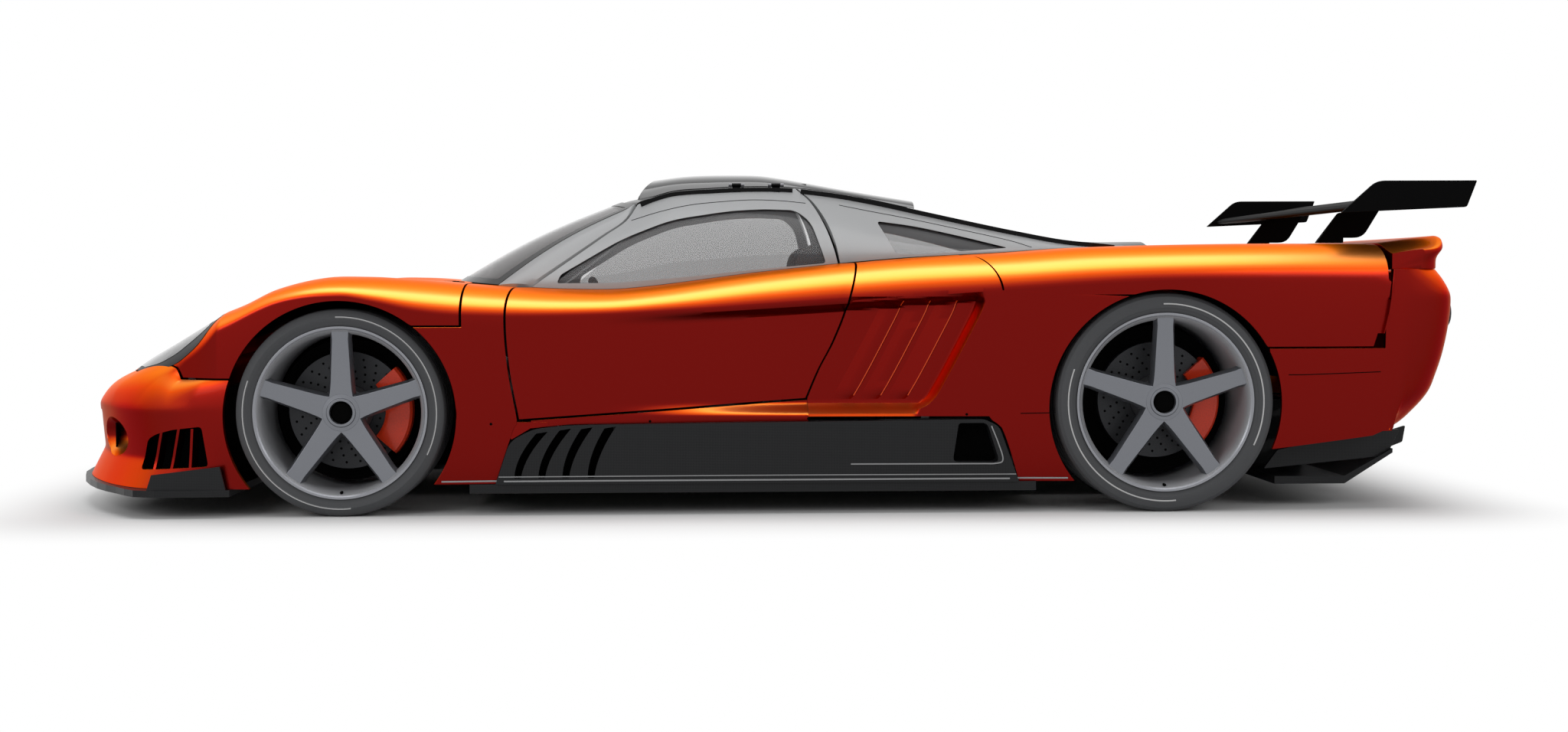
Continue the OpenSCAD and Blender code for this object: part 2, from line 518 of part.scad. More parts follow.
pod_line = [[-861, 0], [-814, 243], [-737, 283], [-620, 295], [741, 308], [790, 285], [856, 0]];
module sill_strip() {
    translate([0, sy(936), 0]) rotate([90, 0, 0]) linear_extrude(40) polygon([
        [sx(-737), sz(283) + seam], [sx(-620), sz(295) + seam], [sx(150), sz(302.3) + seam],
        [sx(150), sz(368)], [sx(-760), sz(309)]]);
}
module side_pods() {
    color(carbon) both_sides() difference() {
        translate([0, sy(955), 0]) rotate([90, 0, 0]) linear_extrude(90)
            polygon([for (p = pod_line) [sx(p[0]), p[1] == 0 ? floor_top : sz(p[1])]]);
        // outlet behind
        translate([sx(560), sy(890), sz(150)]) cube([sx(745) - sx(560), 80, sz(135)]);
        // inlet slats in front
        for (k = [0 : 3]) translate([sx(-775 + 52 * k), sy(900), sz(135)]) cube([24, 80, sz(128)]);
    }
}

quarter_z = [712, 690, 620, 540, 450, 360, 318, 280, low_z];
module rear_quarter() {
    ws = [0.93, 1, 1.35, 1.7, 2];
    ends = clam_seam_front;
    g = [for (c = [0 : 9]) concat(
        [for (k = [0 : 4]) let (x = quarter_x(c, 712, ends[k] - shut_gap, k, min(3 - ws[k],
            2.5))) real(body_point(x, ws[k], 0))],
        [for (z = quarter_z) let (x = quarter_x(c, z, 0, 5, (z - 376) / 321)) real([x, side_width(x, z),
            z])])];
    color(orange) plate(g, level_rim(g, inset(g, skin_t)),
        function(i, j) (j < 5 && i < 6) || (j >= 5 && j < 11 && i < 9) || (j >= 11 && i >= 7));
}
// Column c of the quarter panel: 0 door cut, 6 shoulder seam, 7 behind the pod, 9 arch
function quarter_x(c, z, end, k, h) = let (x0 = cut_x(door_rear_low, h) + door_gap,
    x6 = k < 5 ? end : curve([[100, 742], [318, 742], [712, 806]], z),
    x7 = k < 5 ? end + 1 : curve([[low_z, 860], [280, 799], [318, 757], [450, 800], [712, 850]], z),
    x9 = rear_arch_x(min(z, 712), -1))
    c <= 6 ? mix(x0, x6, c / 6) : c == 7 ? x7 : mix(x7, x9, (c - 7) / 2);
module rear_quarter_right() { rear_quarter(); }
module rear_quarter_left() { mirror([0, 1, 0]) rear_quarter(); }

// ---- tail ----
tail_plan = [[2075, 968], [2180, 948], [2270, 915], [2325, 865], [2358, 780], [2380, 600], [2388, 300],
    [2390, 0]];
tail_cut = [[200, 290], [255, 243], [270, 188], [327, 120], [386, 71], [443, 48], [518, 25], [619, 6],
    [690, 0],
    [721, 4], [765, 28], [800, 56]];
function tail_point(c, z) = let (t = c * 7, x = curve([for (k = [0 : 7]) [k, tail_plan[k][0]]], t),
    y = curve([for (k = [0 : 7]) [k, tail_plan[k][1]]], t)) 
    [x - curve(tail_cut, z) * step01((x - 2075) / 240), y * (1 - 0.035 * pow(max(768 - z, 0) / 600, 2)), z];
tail_top = 800;
clam_rear_z = [[540, 2030], [588, 2062], [750, 2090], [880, 2098]];
module rear_bumper() {
    zs = [tail_top, 768, 720, 660, 595, 538, 480, 410, 340, 262];
    side = [0, 0.35, 0.7, 1];
    half = concat(
        [for (c = side) [for (z = zs) let (zz = z == 262 ? 205 + c * 45 : z,
            x = mix(rear_arch_x(min(zz, 530), 1), 2062, c)) real([x, side_width(x, zz), zz])]],
        [for (c = [0 : 13]) [for (z = zs) let (p = tail_point(c / 13, z), q = z > 538 ? curve(clam_rear_z,
            z) + shut_gap + 0.8 : 0)
            real([c == 0 ? max(p[0], q) : p[0] + (c == 1 ? 8 : 0), p[1], p[2]])]]);
    n = len(half) - 1;
    g = concat(half, [for (i = [n - 1 : -1 : 0]) [for (p = half[i]) [p[0], -p[1], p[2]]]]);
    function cell(i) = i < n ? i : 2 * n - 1 - i;
    color(orange) {
        plate(g, inset(g, skin_t), function(i, j) let (c = cell(i)) (c >= 4 || j >= 5) && !(c > 14 && j >= 7));
        // bosses on the beams of the tub
        both_sides() translate([sx(beam_end) + 0.3, sy(rear_rail_y) + 2, sz(424)]) cube([32, rail_t - 4,
            sz(32)]);
    }
}
duck_front = 2106;
function tail_plan_x(y) = curve([for (k = [7 : -1 : 1]) [tail_plan[k][1], tail_plan[k][0]]], abs(y));
module ducktail() {
    under = tail_top + 0.3;
    ys = [-930, -880, -770, -600, -300, 0, 300, 600, 770, 880, 930];
    rings = [for (y = ys) let (reach = (tail_plan_x(y) - duck_front) / (tail_plan[7][0] - duck_front),
        drop = 0.45 * step01((abs(y) - 760) / 200))
        [for (p = [[duck_front, under], [2326, under], [2326, 848], [2356, 888], [2350, 909], [2332, 915],
            [2223, 905], [duck_front, 889]])
            real([duck_front + (p[0] - duck_front) * reach, y,
                p[1] > under ? p[1] - drop * (p[1] - under) : p[1]])]];
    color(orange) loft(rings);
}
module diffuser() {
    start = sx(tail_end) + seam;
    wide = sy(830);
    color(carbon) {
        translate([0, wide, 0]) rotate([90, 0, 0]) linear_extrude(2 * wide) polygon([
            [start, ride_height + 4], [sx(2150), sz(180)], [sx(2150), sz(180) + 14], [start, floor_top]]);
        both_sides() translate([rear_axle_x + rear_arch_r + 20, sy(420) + seam, ride_height + 4])
            cube([start - rear_axle_x - rear_arch_r - 20, wide - sy(420) - seam, floor_t - 4]);
    }
}
module tail_lamps() {
    color([0.5, 0.02, 0.02]) both_sides() for (y = [520, 680])
        translate([lamp_x(y), sy(y), sz(650)]) rotate([0, 90, 0]) cylinder(r = lamp_r, h = 9);
}
lamp_r = 52;
function lamp_x(y) = sx(tail_plan_x(y - lamp_r * base_width / car_width)) - 1.3;
module exhaust_tips() {
    color(silver) both_sides() translate([sx(tail_end) + 0.3, sy(170), sz(285)]) rotate([0, 90,
        0]) difference() {
        cylinder(r = 42, h = sx(2215) - sx(tail_end));
        translate([0, 0, 30]) cylinder(r = 38, h = car_length);
    }
}
module engine_block() {
    color([0.35, 0.35, 0.36]) translate([sx(520), -sy(290), floor_top]) cube([sx(1500) - sx(520), sy(580),
        sz(430)]);
}

// ---- cabin ----
module seats() {
    color([0.16, 0.16, 0.17]) both_sides() translate([0, sy(seat_y) + seat_w / 2, 0]) rotate([90, 0, 0])
        linear_extrude(seat_w) polygon([for (p = [[-430, 0], [-430, 290], [-385, 325], [30, 262], [70,
            320], [165, 880],
            [215, 905], [262, 870], [190, 300], [110, 0]]) [sx(p[0]), p[1] == 0 ? floor_top : sz(p[1])]]);
}
module dashboard() {
    color([0.10, 0.10, 0.10]) translate([0, sy(600), 0]) rotate([90, 0, 0]) linear_extrude(sy(1200))
        polygon([[sx(-935) + 30.3, sz(520)], [sx(-935) + 30.3, sz(660)], [sx(-840), sz(690)], [sx(-650),
            sz(680)],
            [sx(-620), sz(650)], [sx(-620), sz(560)], [sx(-760), sz(480)]]);
}
module steering_wheel() {
    y = -sy(seat_y);
    color([0.05, 0.05, 0.05]) {
        translate([sx(-620) + 0.3, y - 25, sz(575)]) cube([70, 50, 50]);
        translate([sx(-620) + 60, y, sz(575) + 25]) rotate([0, 70, 0]) {
            cylinder(r = 28, h = 45);
            translate([0, 0, 45]) {
                rotate_extrude() translate([wheel_r - 14, 0]) circle(r = 14);
                for (a = [0, 90, 180]) rotate([0, 0, a + 90]) translate([0, -16, -6]) cube([wheel_r - 12,
                    32, 12]);
            }
        }
    }
}
module rear_bulkhead() {
    color([0.12, 0.12, 0.12]) translate([sx(400), -sy(600), floor_top]) cube([30, sy(1200),
        sz(790) - floor_top]);
}

// ---- running gear: made on the right side, wheel axis through the origin, +Y outwards ----
front_face_y = sy(965);
rear_face_y = sy(977);
disc_y = -185;
upright_y = -245;
module tyre(r, w, rim_r) {
    bead = rim_r - 14.7;
    rotate([-90, 0, 0]) rotate_extrude($fn = 96) polygon([[bead, -w + 22], [rim_r + 2, -w + 12],
        [(rim_r + r) / 2, -w],
        [r - 10, -w + 6], [r, -w + 26], [r, -26], [r - 10, -6], [(rim_r + r) / 2, 0], [rim_r + 2, -12],
            [bead, -22]]);
}
module rim(w, rim_r) {
    bore = spindle_r + spindle_gap;
    rotate([-90, 0, 0]) difference() {
        union() {
            // barrel with two flanges
            rotate_extrude($fn = 96) polygon([[rim_r - 32, -w + 8], [rim_r, -w + 8], [rim_r, -w + 11.5],
                [rim_r - 15, -w + 21.5],
                [rim_r - 15, -21.5], [rim_r, -11.5], [rim_r, -8], [rim_r - 24, -30], [rim_r - 24, -w + 30]]);
            for (k = [0 : spokes - 1]) rotate([0, 0, 90 + k * 360 / spokes]) translate([0, 0, -62])
                linear_extrude(34) polygon([[20, -34], [rim_r - 20, -20], [rim_r - 20, 20], [20, 34]]);
            translate([0, 0, -75]) cylinder(r = 68, h = 55);
            // hat and disc
            translate([0, 0, disc_y + disc_t / 2]) cylinder(r = 85, h = -75 - disc_y - disc_t / 2 + 1);
            translate([0, 0, disc_y - disc_t / 2]) cylinder(r = disc_r, h = disc_t);
        }
        translate([0, 0, -w]) cylinder(r = bore, h = 2 * w);
    }
}
// Upright, spindle and caliper
module upright(half_h) {
    translate([-38, upright_y, -half_h]) cube([76, 38, 2 * half_h]);
    translate([0, upright_y + 30, 0]) rotate([-90, 0, 0]) cylinder(r = spindle_r, h = -30 - upright_y - 40);
    translate([0, upright_y + 30, 0]) rotate([-90, 0, 0]) cylinder(r = 46, h = 8);
    difference() {
        rotate([-90, 0, 0]) rotate([0, 0, -32]) translate([0, 0,
            disc_y - disc_t / 2 - 26]) rotate_extrude(angle = 80)
            translate([118, 0]) square([disc_r + 20 - 118, disc_t + 48]);
        rotate([-90, 0, 0]) translate([0, 0, disc_y - disc_t / 2 - 4]) cylinder(r = disc_r + 4,
            h = disc_t + 8);
    }
    translate([30, upright_y + 2, -40]) cube([115, 34, 80]);
}
module place(x, face_y, z, left = false) {
    if (left) mirror([0, 1, 0]) translate([x, face_y, z]) children();
    else translate([x, face_y, z]) children();
}
knuckle_h = 125;
kingpin_y = front_face_y + upright_y + 19;
kingpin_r = 12;
module knuckle_front(left) {
    color(silver) place(front_axle_x, front_face_y, front_tyre_r, left) {
        upright(knuckle_h);
        translate([0, kingpin_y - front_face_y, -knuckle_h - 28]) cylinder(r = kingpin_r,
            h = 2 * knuckle_h + 56);
    }
}
module knuckle_front_left() { knuckle_front(true); }
module knuckle_front_right() { knuckle_front(false); }
module rear_uprights() {
    rail = sy(rear_rail_y) + rail_t;
    color(silver) both_sides() {
        place(rear_axle_x, rear_face_y, rear_tyre_r) upright(knuckle_h);
        for (z = [-knuckle_h + 10, -knuckle_h / 2]) translate([rear_axle_x - 30, rail + 0.3,
            rear_tyre_r + z - 15])
            cube([60, rear_face_y + upright_y - rail - 0.3 + 1, 30]);
    }
}
module front_wishbones() {
    rail = sy(rail_y) + rail_t + 0.3;
    tip = kingpin_y - 60;
    color([0.25, 0.25, 0.26]) both_sides() for (s = [-1, 1]) {
        z = front_tyre_r + s * (knuckle_h + 14.5);
        translate([front_axle_x, 0, z - 14]) linear_extrude(28) difference() {
            union() {
                polygon([[-170, rail], [-120, rail], [0, tip - 60], [120, rail], [170, rail], [36,
                    kingpin_y - 10],
                    [10, kingpin_y + 6], [-10, kingpin_y + 6], [-36, kingpin_y - 10]]);
                translate([0, kingpin_y]) circle(kingpin_r + 5);
            }
            translate([0, kingpin_y]) circle(kingpin_r + spindle_gap);
        }
    }
}
module tyre_front_left() { color([0.13, 0.13, 0.14]) place(front_axle_x, front_face_y, front_tyre_r,
    true) tyre(front_tyre_r, front_tyre_w, front_rim_r); }
module tyre_front_right() { color([0.13, 0.13, 0.14]) place(front_axle_x, front_face_y,
    front_tyre_r) tyre(front_tyre_r, front_tyre_w, front_rim_r); }
module tyre_rear_left() { color([0.13, 0.13, 0.14]) place(rear_axle_x, rear_face_y, rear_tyre_r,
    true) tyre(rear_tyre_r, rear_tyre_w, rear_rim_r); }
module tyre_rear_right() { color([0.13, 0.13, 0.14]) place(rear_axle_x, rear_face_y,
    rear_tyre_r) tyre(rear_tyre_r, rear_tyre_w, rear_rim_r); }
module rim_front_left() { color(silver) place(front_axle_x, front_face_y, front_tyre_r,
    true) rim(front_tyre_w, front_rim_r); }
module rim_front_right() { color(silver) place(front_axle_x, front_face_y, front_tyre_r) rim(front_tyre_w,
    front_rim_r); }
module rim_rear_left() { color(silver) place(rear_axle_x, rear_face_y, rear_tyre_r, true) rim(rear_tyre_w,
    rear_rim_r); }
module rim_rear_right() { color(silver) place(rear_axle_x, rear_face_y, rear_tyre_r) rim(rear_tyre_w,
    rear_rim_r); }

// ---- rear clamshell ----
clam_seam_front = [701, 701, 748, 786, 803, 812];
function clam_inner_y(x) = x < 1480 ? curve(belt_y, x) + 12 : 210;
function rear_low(x) = x < base_rear_axle ? max(718, rear_arch_top(x)) : x > 2040 ? 588 : max(545,
    rear_arch_top(x));
module rear_clamshell() {
    xs = [0, 1, 840, 920, 1020, 1110, 1180, 1222, 1260, 1300, 1340, 1400, 1482, 1540, 1600, 1640, 1672,
        1730, 1810, 1900, 1970, 2024, 3];
    half = [for (x = xs) concat(
        [for (k = [0, 0.5, 1, 1.5]) let (xx = clam_x(x, 0), yi = clam_inner_y(xx), cy = curve(crest_y, xx),
            y = k <= 1 ? yi * k : mix(yi, cy, 0.5)) bowed([xx, y, curve(crest_z, xx) + 6 * (1 - pow(y / cy,
                2))])],
        [for (k = [1 : 4]) let (xx = clam_x(x, k)) body_point(xx, [0, 1, 1.35, 1.7, 2][k], 0)],
        [for (k = [0.33, 0.66, 1]) let (x0 = clam_x(x, 5), z = mix(curve(side_z, x0), rear_low(x0), k),
            xx = x == 3 ? curve(clam_rear_z, z) : x0) [xx, side_width(xx, z), z]])];
    g = [for (r = half) concat([for (k = [len(r) - 1 : -1 : 1]) real([r[k][0], -r[k][1], r[k][2]])],
        [for (p = r) real(p)])];
    mid = len(half[0]) - 1;
    inner = raised_rims(g, inset(g, skin_t));
    bevelled = [for (i = [0 : len(g) - 1]) [for (p = inner[i]) i == 0 ? p + [edge_bevel, 0, 0] : p]];
    color(orange) plate(g, bevelled, function(i, j) i >= 12 || j < mid - 2 || j >= mid + 2);
}
function clam_x(x, k) = x == 0 ? clam_seam_front[k] : x == 1 ? (clam_seam_front[k] + 840) / 2 : x == 3
    ? curve(clam_rear_z, k < 2 ? 880 : 800) : x;

// ---- wing ----
plate_line = [[1950, 989], [2071, 1096], [2410, 1097], [2376, 1008]];
module wing_end_plates() {
    color(gloss_black) both_sides() translate([0, wing_span / 2, 0]) rotate([90, 0,
        0]) linear_extrude(end_plate_t)
        polygon([for (p = plate_line) [sx(p[0]), sz(p[1])]]);
}
module wing() {
    half = wing_span / 2 - end_plate_t - 0.3;
    color(gloss_black) translate([0, half, 0]) rotate([90, 0, 0]) linear_extrude(2 * half)
        polygon([for (p = concat(wing_under, [[2352, 1072], [2230, 1052], [2110, 1036], [2010, 1022],
            [1990, 1010]]))
                [sx(p[0]), sz(p[1])]]);
}
wing_under = [[1990, 1003], [2010, 1000], [2120, 1008], [2240, 1030], [2350, 1066]];
module wing_pylons() {
    deck = sz(curve(crest_z, 2050)) + 4.6;
    color(gloss_black) both_sides() translate([0, pylon_span / 2 + pylon_t / 2, 0]) rotate([90, 0,
        0]) linear_extrude(pylon_t)
        polygon(concat([[sx(2094), sz(914)], [sx(2094), deck], [sx(1996), deck]],
            [for (x = [2078, 2120, 2232]) [sx(x), sz(curve(wing_under, x)) - 0.6]], [[sx(2163), sz(914)]]));
}

// ---- doors ----
door_cols = [0, 0.04, 0.08, 0.2, 0.34, 0.5, 0.66, 0.8, 0.9, 0.965, 1];
glass_rows = [1, 0.86, 0.74, 0.56, 0.38, 0.2, 0.05, 0];
low_rows = [2, 1.6, 1.3, 1, 0.75, 0.5, 0.25, 0];
function door_low_point(c, h) = let (x = mix(cut_x(door_front_low, h), cut_x(door_rear_low, h), c),
    z = mix(mix(315, 376, c), curve(side_z, x), h))
    h >= 1 ? body_point(x, 3 - h, 0) : [x, side_width(x, z), z];
door_grid = [for (c = door_cols) concat(
    [for (r = glass_rows) real(glass_point(door_front_high, door_rear_high, c, r))],
    [for (h = low_rows) real(door_low_point(c, h))])];
door_layers = [under_strip(door_grid, frame_t), inset(door_grid, 30), inset(door_grid, 40),
    inset(door_grid, door_t)];
module door() {
    pick = [for (j = [0 : 15]) j < 8 ? 0 : j == 8 ? 1 : j < 11 ? 2 : 3];
    inner = [for (i = [0 : len(door_cols) - 1]) [for (j = [0 : 15]) door_layers[pick[j]][i][j]]];
    color(orange) plate(door_grid, inner, function(i, j) !(i >= 2 && i < 9 && j >= 2 && j < 6));
}
module door_glass() {
    inner = inset(door_grid, glass_t);
    color(glass_grey) plate(shrink(window(door_grid, 2, 9, 2, 6)), shrink(window(inner, 2, 9, 2, 6)));
}
module door_right() { door(); }
module door_left() { mirror([0, 1, 0]) door(); }
module door_glass_right() { door_glass(); }
module door_glass_left() { mirror([0, 1, 0]) door_glass(); }

// ---- hinges ----
door_axis_y = sy(357);
door_axis_z = sz(1105);
knuckle_r = 6;
door_pin_r = 3.5;
leaf_drop = -6.7;
door_hinge_x = [-60, 80];
module door_hinge() {
    color(silver) for (x = door_hinge_x) translate([sx(x), door_axis_y, door_axis_z]) difference() {
        union() {
            rotate([0, 90, 0]) translate([0, 0, -16]) cylinder(r = knuckle_r, h = 32);
            rotate([-30.3, 0, 0]) translate([-14, 2, leaf_drop]) cube([28, 40, 3]);
        }
        rotate([0, 90, 0]) translate([0, 0, -40]) cylinder(r = door_pin_r + pin_gap, h = 80);
    }
}
module door_hinge_right() { door_hinge(); }
module door_hinge_left() { mirror([0, 1, 0]) door_hinge(); }

front_lid_axis = [sx(-2262), sz(356)];
rear_lid_axis = [sx(560), sz(790)];
front_arm_y = sy(220);
rear_arm_y = sy(800);
// The arms end just under the lids' skins
base_skin = 16;
front_arm_rise = sz(84.3) - (skin_t - base_skin);
rear_arm_rise = sz(24.5) - (skin_t - base_skin);
arm_t = 18;
arm_w = 24;
module strut(a, b, w) {
    translate(a) rotate(atan2(b[1] - a[1], b[0] - a[0])) translate([0, -w / 2]) square([norm(b - a), w]);
    translate(a) circle(w / 2 + 1.5);
    translate(b) circle(w / 2 + 1.5);
}
// Arm that reaches round the edge of the fixed panel, along a path that starts at its pin
module lid_arm(axis, y, path) {
    translate([axis[0], y + arm_t / 2, axis[1]]) rotate([90, 0, 0]) linear_extrude(arm_t) difference() {
        union() {
            circle(pin_r + 7);
            for (k = [0 : len(path) - 2]) strut(path[k], path[k + 1], arm_w);
        }
        circle(pin_r + pin_gap);
    }
}
module front_lid_hinges() {
    color(silver) both_sides() lid_arm(front_lid_axis, front_arm_y, [[0, 0], [100, -50], [140, 0], [140,
        front_arm_rise]]);
}
module rear_lid_hinges() {
    color(silver) both_sides() lid_arm(rear_lid_axis, rear_arm_y, [[0, 0], [150, -90], [205, -30], [205,
        rear_arm_rise]]);
}
// Post beside an arm, with the pin that the arm turns on
module lid_post(axis, y, foot) {
    gap = 0.3;
    translate([axis[0], y + arm_t / 2 + gap, axis[1]]) rotate([-90, 0, 0]) cylinder(r = pin_r + 5, h = 14);
    translate([axis[0] - pin_r - 5, y + arm_t / 2 + gap, foot]) cube([2 * pin_r + 10, 14, axis[1] - foot]);
    translate([axis[0], y - arm_t / 2 - 2, axis[1]]) rotate([-90, 0, 0]) cylinder(r = pin_r,
        h = arm_t + 2 + gap + 2);
}
module hinge_brackets() {
    color(silver) both_sides() {
        lid_post(front_lid_axis, front_arm_y, splitter_top);
        lid_post(rear_lid_axis, rear_arm_y, floor_top);
        for (x = door_hinge_x) {
            leaf_z = sz(roof_top(x, 312)) + 0.6;
            translate([sx(x), door_axis_y, door_axis_z]) rotate([0, 90, 0]) {
                for (z = [-28, 16.3]) translate([0, 0, z]) cylinder(r = knuckle_r, h = 11.7);
                translate([0, 0, -28]) cylinder(r = door_pin_r, h = 56);
            }
            for (dx = [-28, 16.3]) translate([sx(x) + dx, sy(312), leaf_z]) cube([11.7,
                door_axis_y - sy(312), 3]);
        }
    }
}

floor_tub();
front_box();
rear_frame();
jack_pads();
front_splitter();
front_bumper();
windscreen();
roof_panel();
roof_scoop();
cabin_frame();
quarter_glass();
front_side_panels();
rear_quarter_left();
rear_quarter_right();
side_pods();
rear_bumper();
ducktail();
diffuser();
tail_lamps();
exhaust_tips();
engine_block();
seats();
dashboard();
steering_wheel();
rear_bulkhead();
front_wishbones();
rear_uprights();
hinge_brackets();
front_clamshell();
headlamps();
front_lid_hinges();
rear_clamshell();
rear_lid_hinges();
wing();
wing_end_plates();
wing_pylons();
door_left();
door_right();
door_glass_left();
door_glass_right();
door_hinge_left();
door_hinge_right();
knuckle_front_left();
knuckle_front_right();
tyre_front_left();
tyre_front_right();
tyre_rear_left();
tyre_rear_right();
rim_front_left();
rim_front_right();
rim_rear_left();
rim_rear_right();
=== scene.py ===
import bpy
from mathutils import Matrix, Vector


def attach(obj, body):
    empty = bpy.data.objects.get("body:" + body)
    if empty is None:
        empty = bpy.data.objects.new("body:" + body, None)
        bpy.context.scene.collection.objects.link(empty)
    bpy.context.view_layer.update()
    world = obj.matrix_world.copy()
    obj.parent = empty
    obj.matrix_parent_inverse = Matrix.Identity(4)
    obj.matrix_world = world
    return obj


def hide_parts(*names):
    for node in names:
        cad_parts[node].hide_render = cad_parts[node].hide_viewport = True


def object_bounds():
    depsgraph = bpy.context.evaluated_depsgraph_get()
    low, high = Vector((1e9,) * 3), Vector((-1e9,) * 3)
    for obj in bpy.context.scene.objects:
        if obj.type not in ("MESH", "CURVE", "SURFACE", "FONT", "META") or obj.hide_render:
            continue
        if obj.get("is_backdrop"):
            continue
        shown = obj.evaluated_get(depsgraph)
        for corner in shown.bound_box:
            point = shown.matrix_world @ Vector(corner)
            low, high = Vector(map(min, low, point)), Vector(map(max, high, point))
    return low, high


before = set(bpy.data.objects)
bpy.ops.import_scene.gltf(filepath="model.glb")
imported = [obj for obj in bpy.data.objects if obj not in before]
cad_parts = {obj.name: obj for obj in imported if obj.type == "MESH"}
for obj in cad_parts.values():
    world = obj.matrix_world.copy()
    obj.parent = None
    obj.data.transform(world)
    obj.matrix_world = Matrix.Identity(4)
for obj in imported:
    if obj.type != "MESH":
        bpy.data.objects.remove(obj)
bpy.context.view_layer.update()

import math
import bmesh
import bpy
import numpy as np
from mathutils import Matrix, Vector

MM = 0.001


def pairs(*v):
    return np.array(v, float).reshape(-1, 2)


def triples(*v):
    return np.array(v, float).reshape(-1, 3)


# ---------- shape lines, millimetres, the same as the solids ----------
crest_z = pairs(-2353,352, -2216,465, -2008,568, -1776,657, -1685,693, -1585,741, -1433,777, -1295,780,
    -1169,773, -854,747, -636,735, -431,737, 28,793, 465,836, 850,858, 1129,876, 1600,887, 2100,886, 2350,884)
crest_y = pairs(-2353,560, -2216,620, -2008,700, -1700,738, -1360,748, -900,735, 28,752, 850,760, 1340,775,
    2100,770, 2350,740)
middle_z = pairs(-2353,350, -2216,425, -2000,512, -1700,610, -1360,695, -1076,765, -600,820, 900,900, 1467,897,
    2100,892, 2350,888)
side_y = pairs(-2353,700, -2216,780, -2059,862, -1900,925, -1738,960, -1360,985, -972,972, -700,957, -300,942,
    155,938, 465,950, 850,972, 1340,995, 1740,990, 2100,966, 2250,930, 2350,880)
side_z = pairs(-2353,330, -2216,430, -2059,484, -1900,540, -1738,610, -1550,695, -1360,716, -1250,698,
    -1118,668, -977,653, -700,650, -300,664, 273,697, 724,727, 1286,763, 1736,771, 2100,768, 2350,766)
belt_y = pairs(-868,672, -700,694, -400,706, 0,708, 275,700, 480,680, 700,632, 900,560, 1209,400, 1467,200)
strip_z = pairs(-868,790, -559,955, -412,1033, -293,1076, -152,1088, -65,1093, 88,1094, 189,1087, 365,1062,
    597,1014, 950,940, 1209,896, 1467,893)
strip_y = pairs(-868,580, -559,450, -412,385, -152,365, 189,355, 597,300, 950,245, 1209,195, 1467,120)
scoop_z = pairs(-354,1135, -225,1151, -57,1155, 58,1150, 344,1101, 785,1031)
lid_rear = pairs(0,-1081, 300,-1052, 450,-1014, 560,-974, 1000,-974)
FX, RX, FR, RR = -1360.0, 1340.0, 338.0, 362.0  # axles and wheel radii
FRONT_ARCH, REAR_ARCH = (FX, 374.0, 328.0), (RX, 386.0, 348.0)  # centre x, radius, centre z
DGAP, SEAM = 7.4, 0.5  # gap round a door, gap between fixed panels
PANEL = 12  # thickness of the painted panels
GLASS_END = 1467  # where the glasshouse runs out
SIDE_TUCK = 34  # how far the side draws in, 600 below its crease
FULL_TURN = 2 * math.pi
MIRROR = [1, -1, 1]  # to the other side of the car


def curve(t, x):
    """Smooth line through a table's points."""
    t = np.asarray(t, float)
    xs, ys = t[:, 0], t[:, 1]
    x = np.asarray(x, float)
    c = np.clip(x, xs[0], xs[-1])
    i = np.clip(np.searchsorted(xs, c, side="right") - 1, 0, len(xs) - 2)
    n = len(xs)
    a = np.maximum(np.arange(n) - 1, 0)
    b = np.minimum(np.arange(n) + 1, n - 1)
    g = (ys[b] - ys[a]) / (xs[b] - xs[a])
    h = xs[i + 1] - xs[i]
    u = (c - xs[i]) / h
    m, k = g[i] * h, g[i + 1] * h
    p, q = ys[i], ys[i + 1]
    return (2 * p - 2 * q + m + k) * u ** 3 + (3 * q - 3 * p - 2 * m - k) * u ** 2 + m * u + p


def mix(a, b, t):
    return a + (b - a) * t


def clip01(t):
    return np.clip(t, 0, 1)


def step01(t):
    c = clip01(t)
    return c * c * (3 - 2 * c)


def xyz(x, y, z):
    return np.stack(np.broadcast_arrays(x, y, z), -1)


def belt_z(x):
    return curve(crest_z, x) + 4


def bowed(x, y, z):
    """The nose and the tail bow in plan, away from the middle line."""
    s = 0.00042 * clip01((-1750 - x) / 603)
    t = 60 * step01((x - 2000) / 350)
    return xyz(x + s * y * y - t * (y / 930) ** 4, y, z)


def intake_rear(z):
    return curve(pairs(341,530, 360,562, 393,590, 600,700, 690,742, 727,742), z)


def scoop_depth(x, z):
    """Depth of the intake's hollow in the side."""
    return (70 * step01((x + 560) / 900) * step01((z - 320) / 42) * step01((curve(side_z, x) - 4 - z) / 30)
        * (1 - step01((x - intake_rear(z) + 26) / 24)))


def side_width(x, z):
    d = np.maximum(curve(side_z, x) - z, 0)
    return curve(side_y, x) - SIDE_TUCK * (d / 600) ** 2 - scoop_depth(x, z)


def side_point(x, z):
    return xyz(x, side_width(x, z), z)


def body_point(x, w, low):
    """The upper body: w is 0 in the middle, 1 on the crest, 2 on the side's crease and 3 at the height low."""
    x, w, low = np.broadcast_arrays(*(np.asarray(v, float) for v in (x, w, low)))
    cy, cz, oy, oz, mz = (curve(t, x) for t in (crest_y, crest_z, side_y, side_z, middle_z))
    a = np.radians(90 * clip01(w - 1))
    z3 = mix(oz, low, w - 2)
    y = np.where(w <= 1, cy * w, np.where(w <= 2, mix(cy, oy, np.sin(a)), side_width(x, z3)))
    z = np.where(w <= 1, mix(mz, cz, step01(w)), np.where(w <= 2, mix(oz, cz, np.cos(a)), z3))
    return bowed(x, y, z)


def glass_width(x, z):
    zb = belt_z(x)
    t = clip01((z - zb) / (curve(strip_z, x) - zb))
    return mix(curve(belt_y, x), curve(strip_y, x), t ** 1.6)


def arch_top(arch, x):
    cx, r, cz = arch
    return cz + np.sqrt(np.maximum(r ** 2 - (x - cx) ** 2, 0))


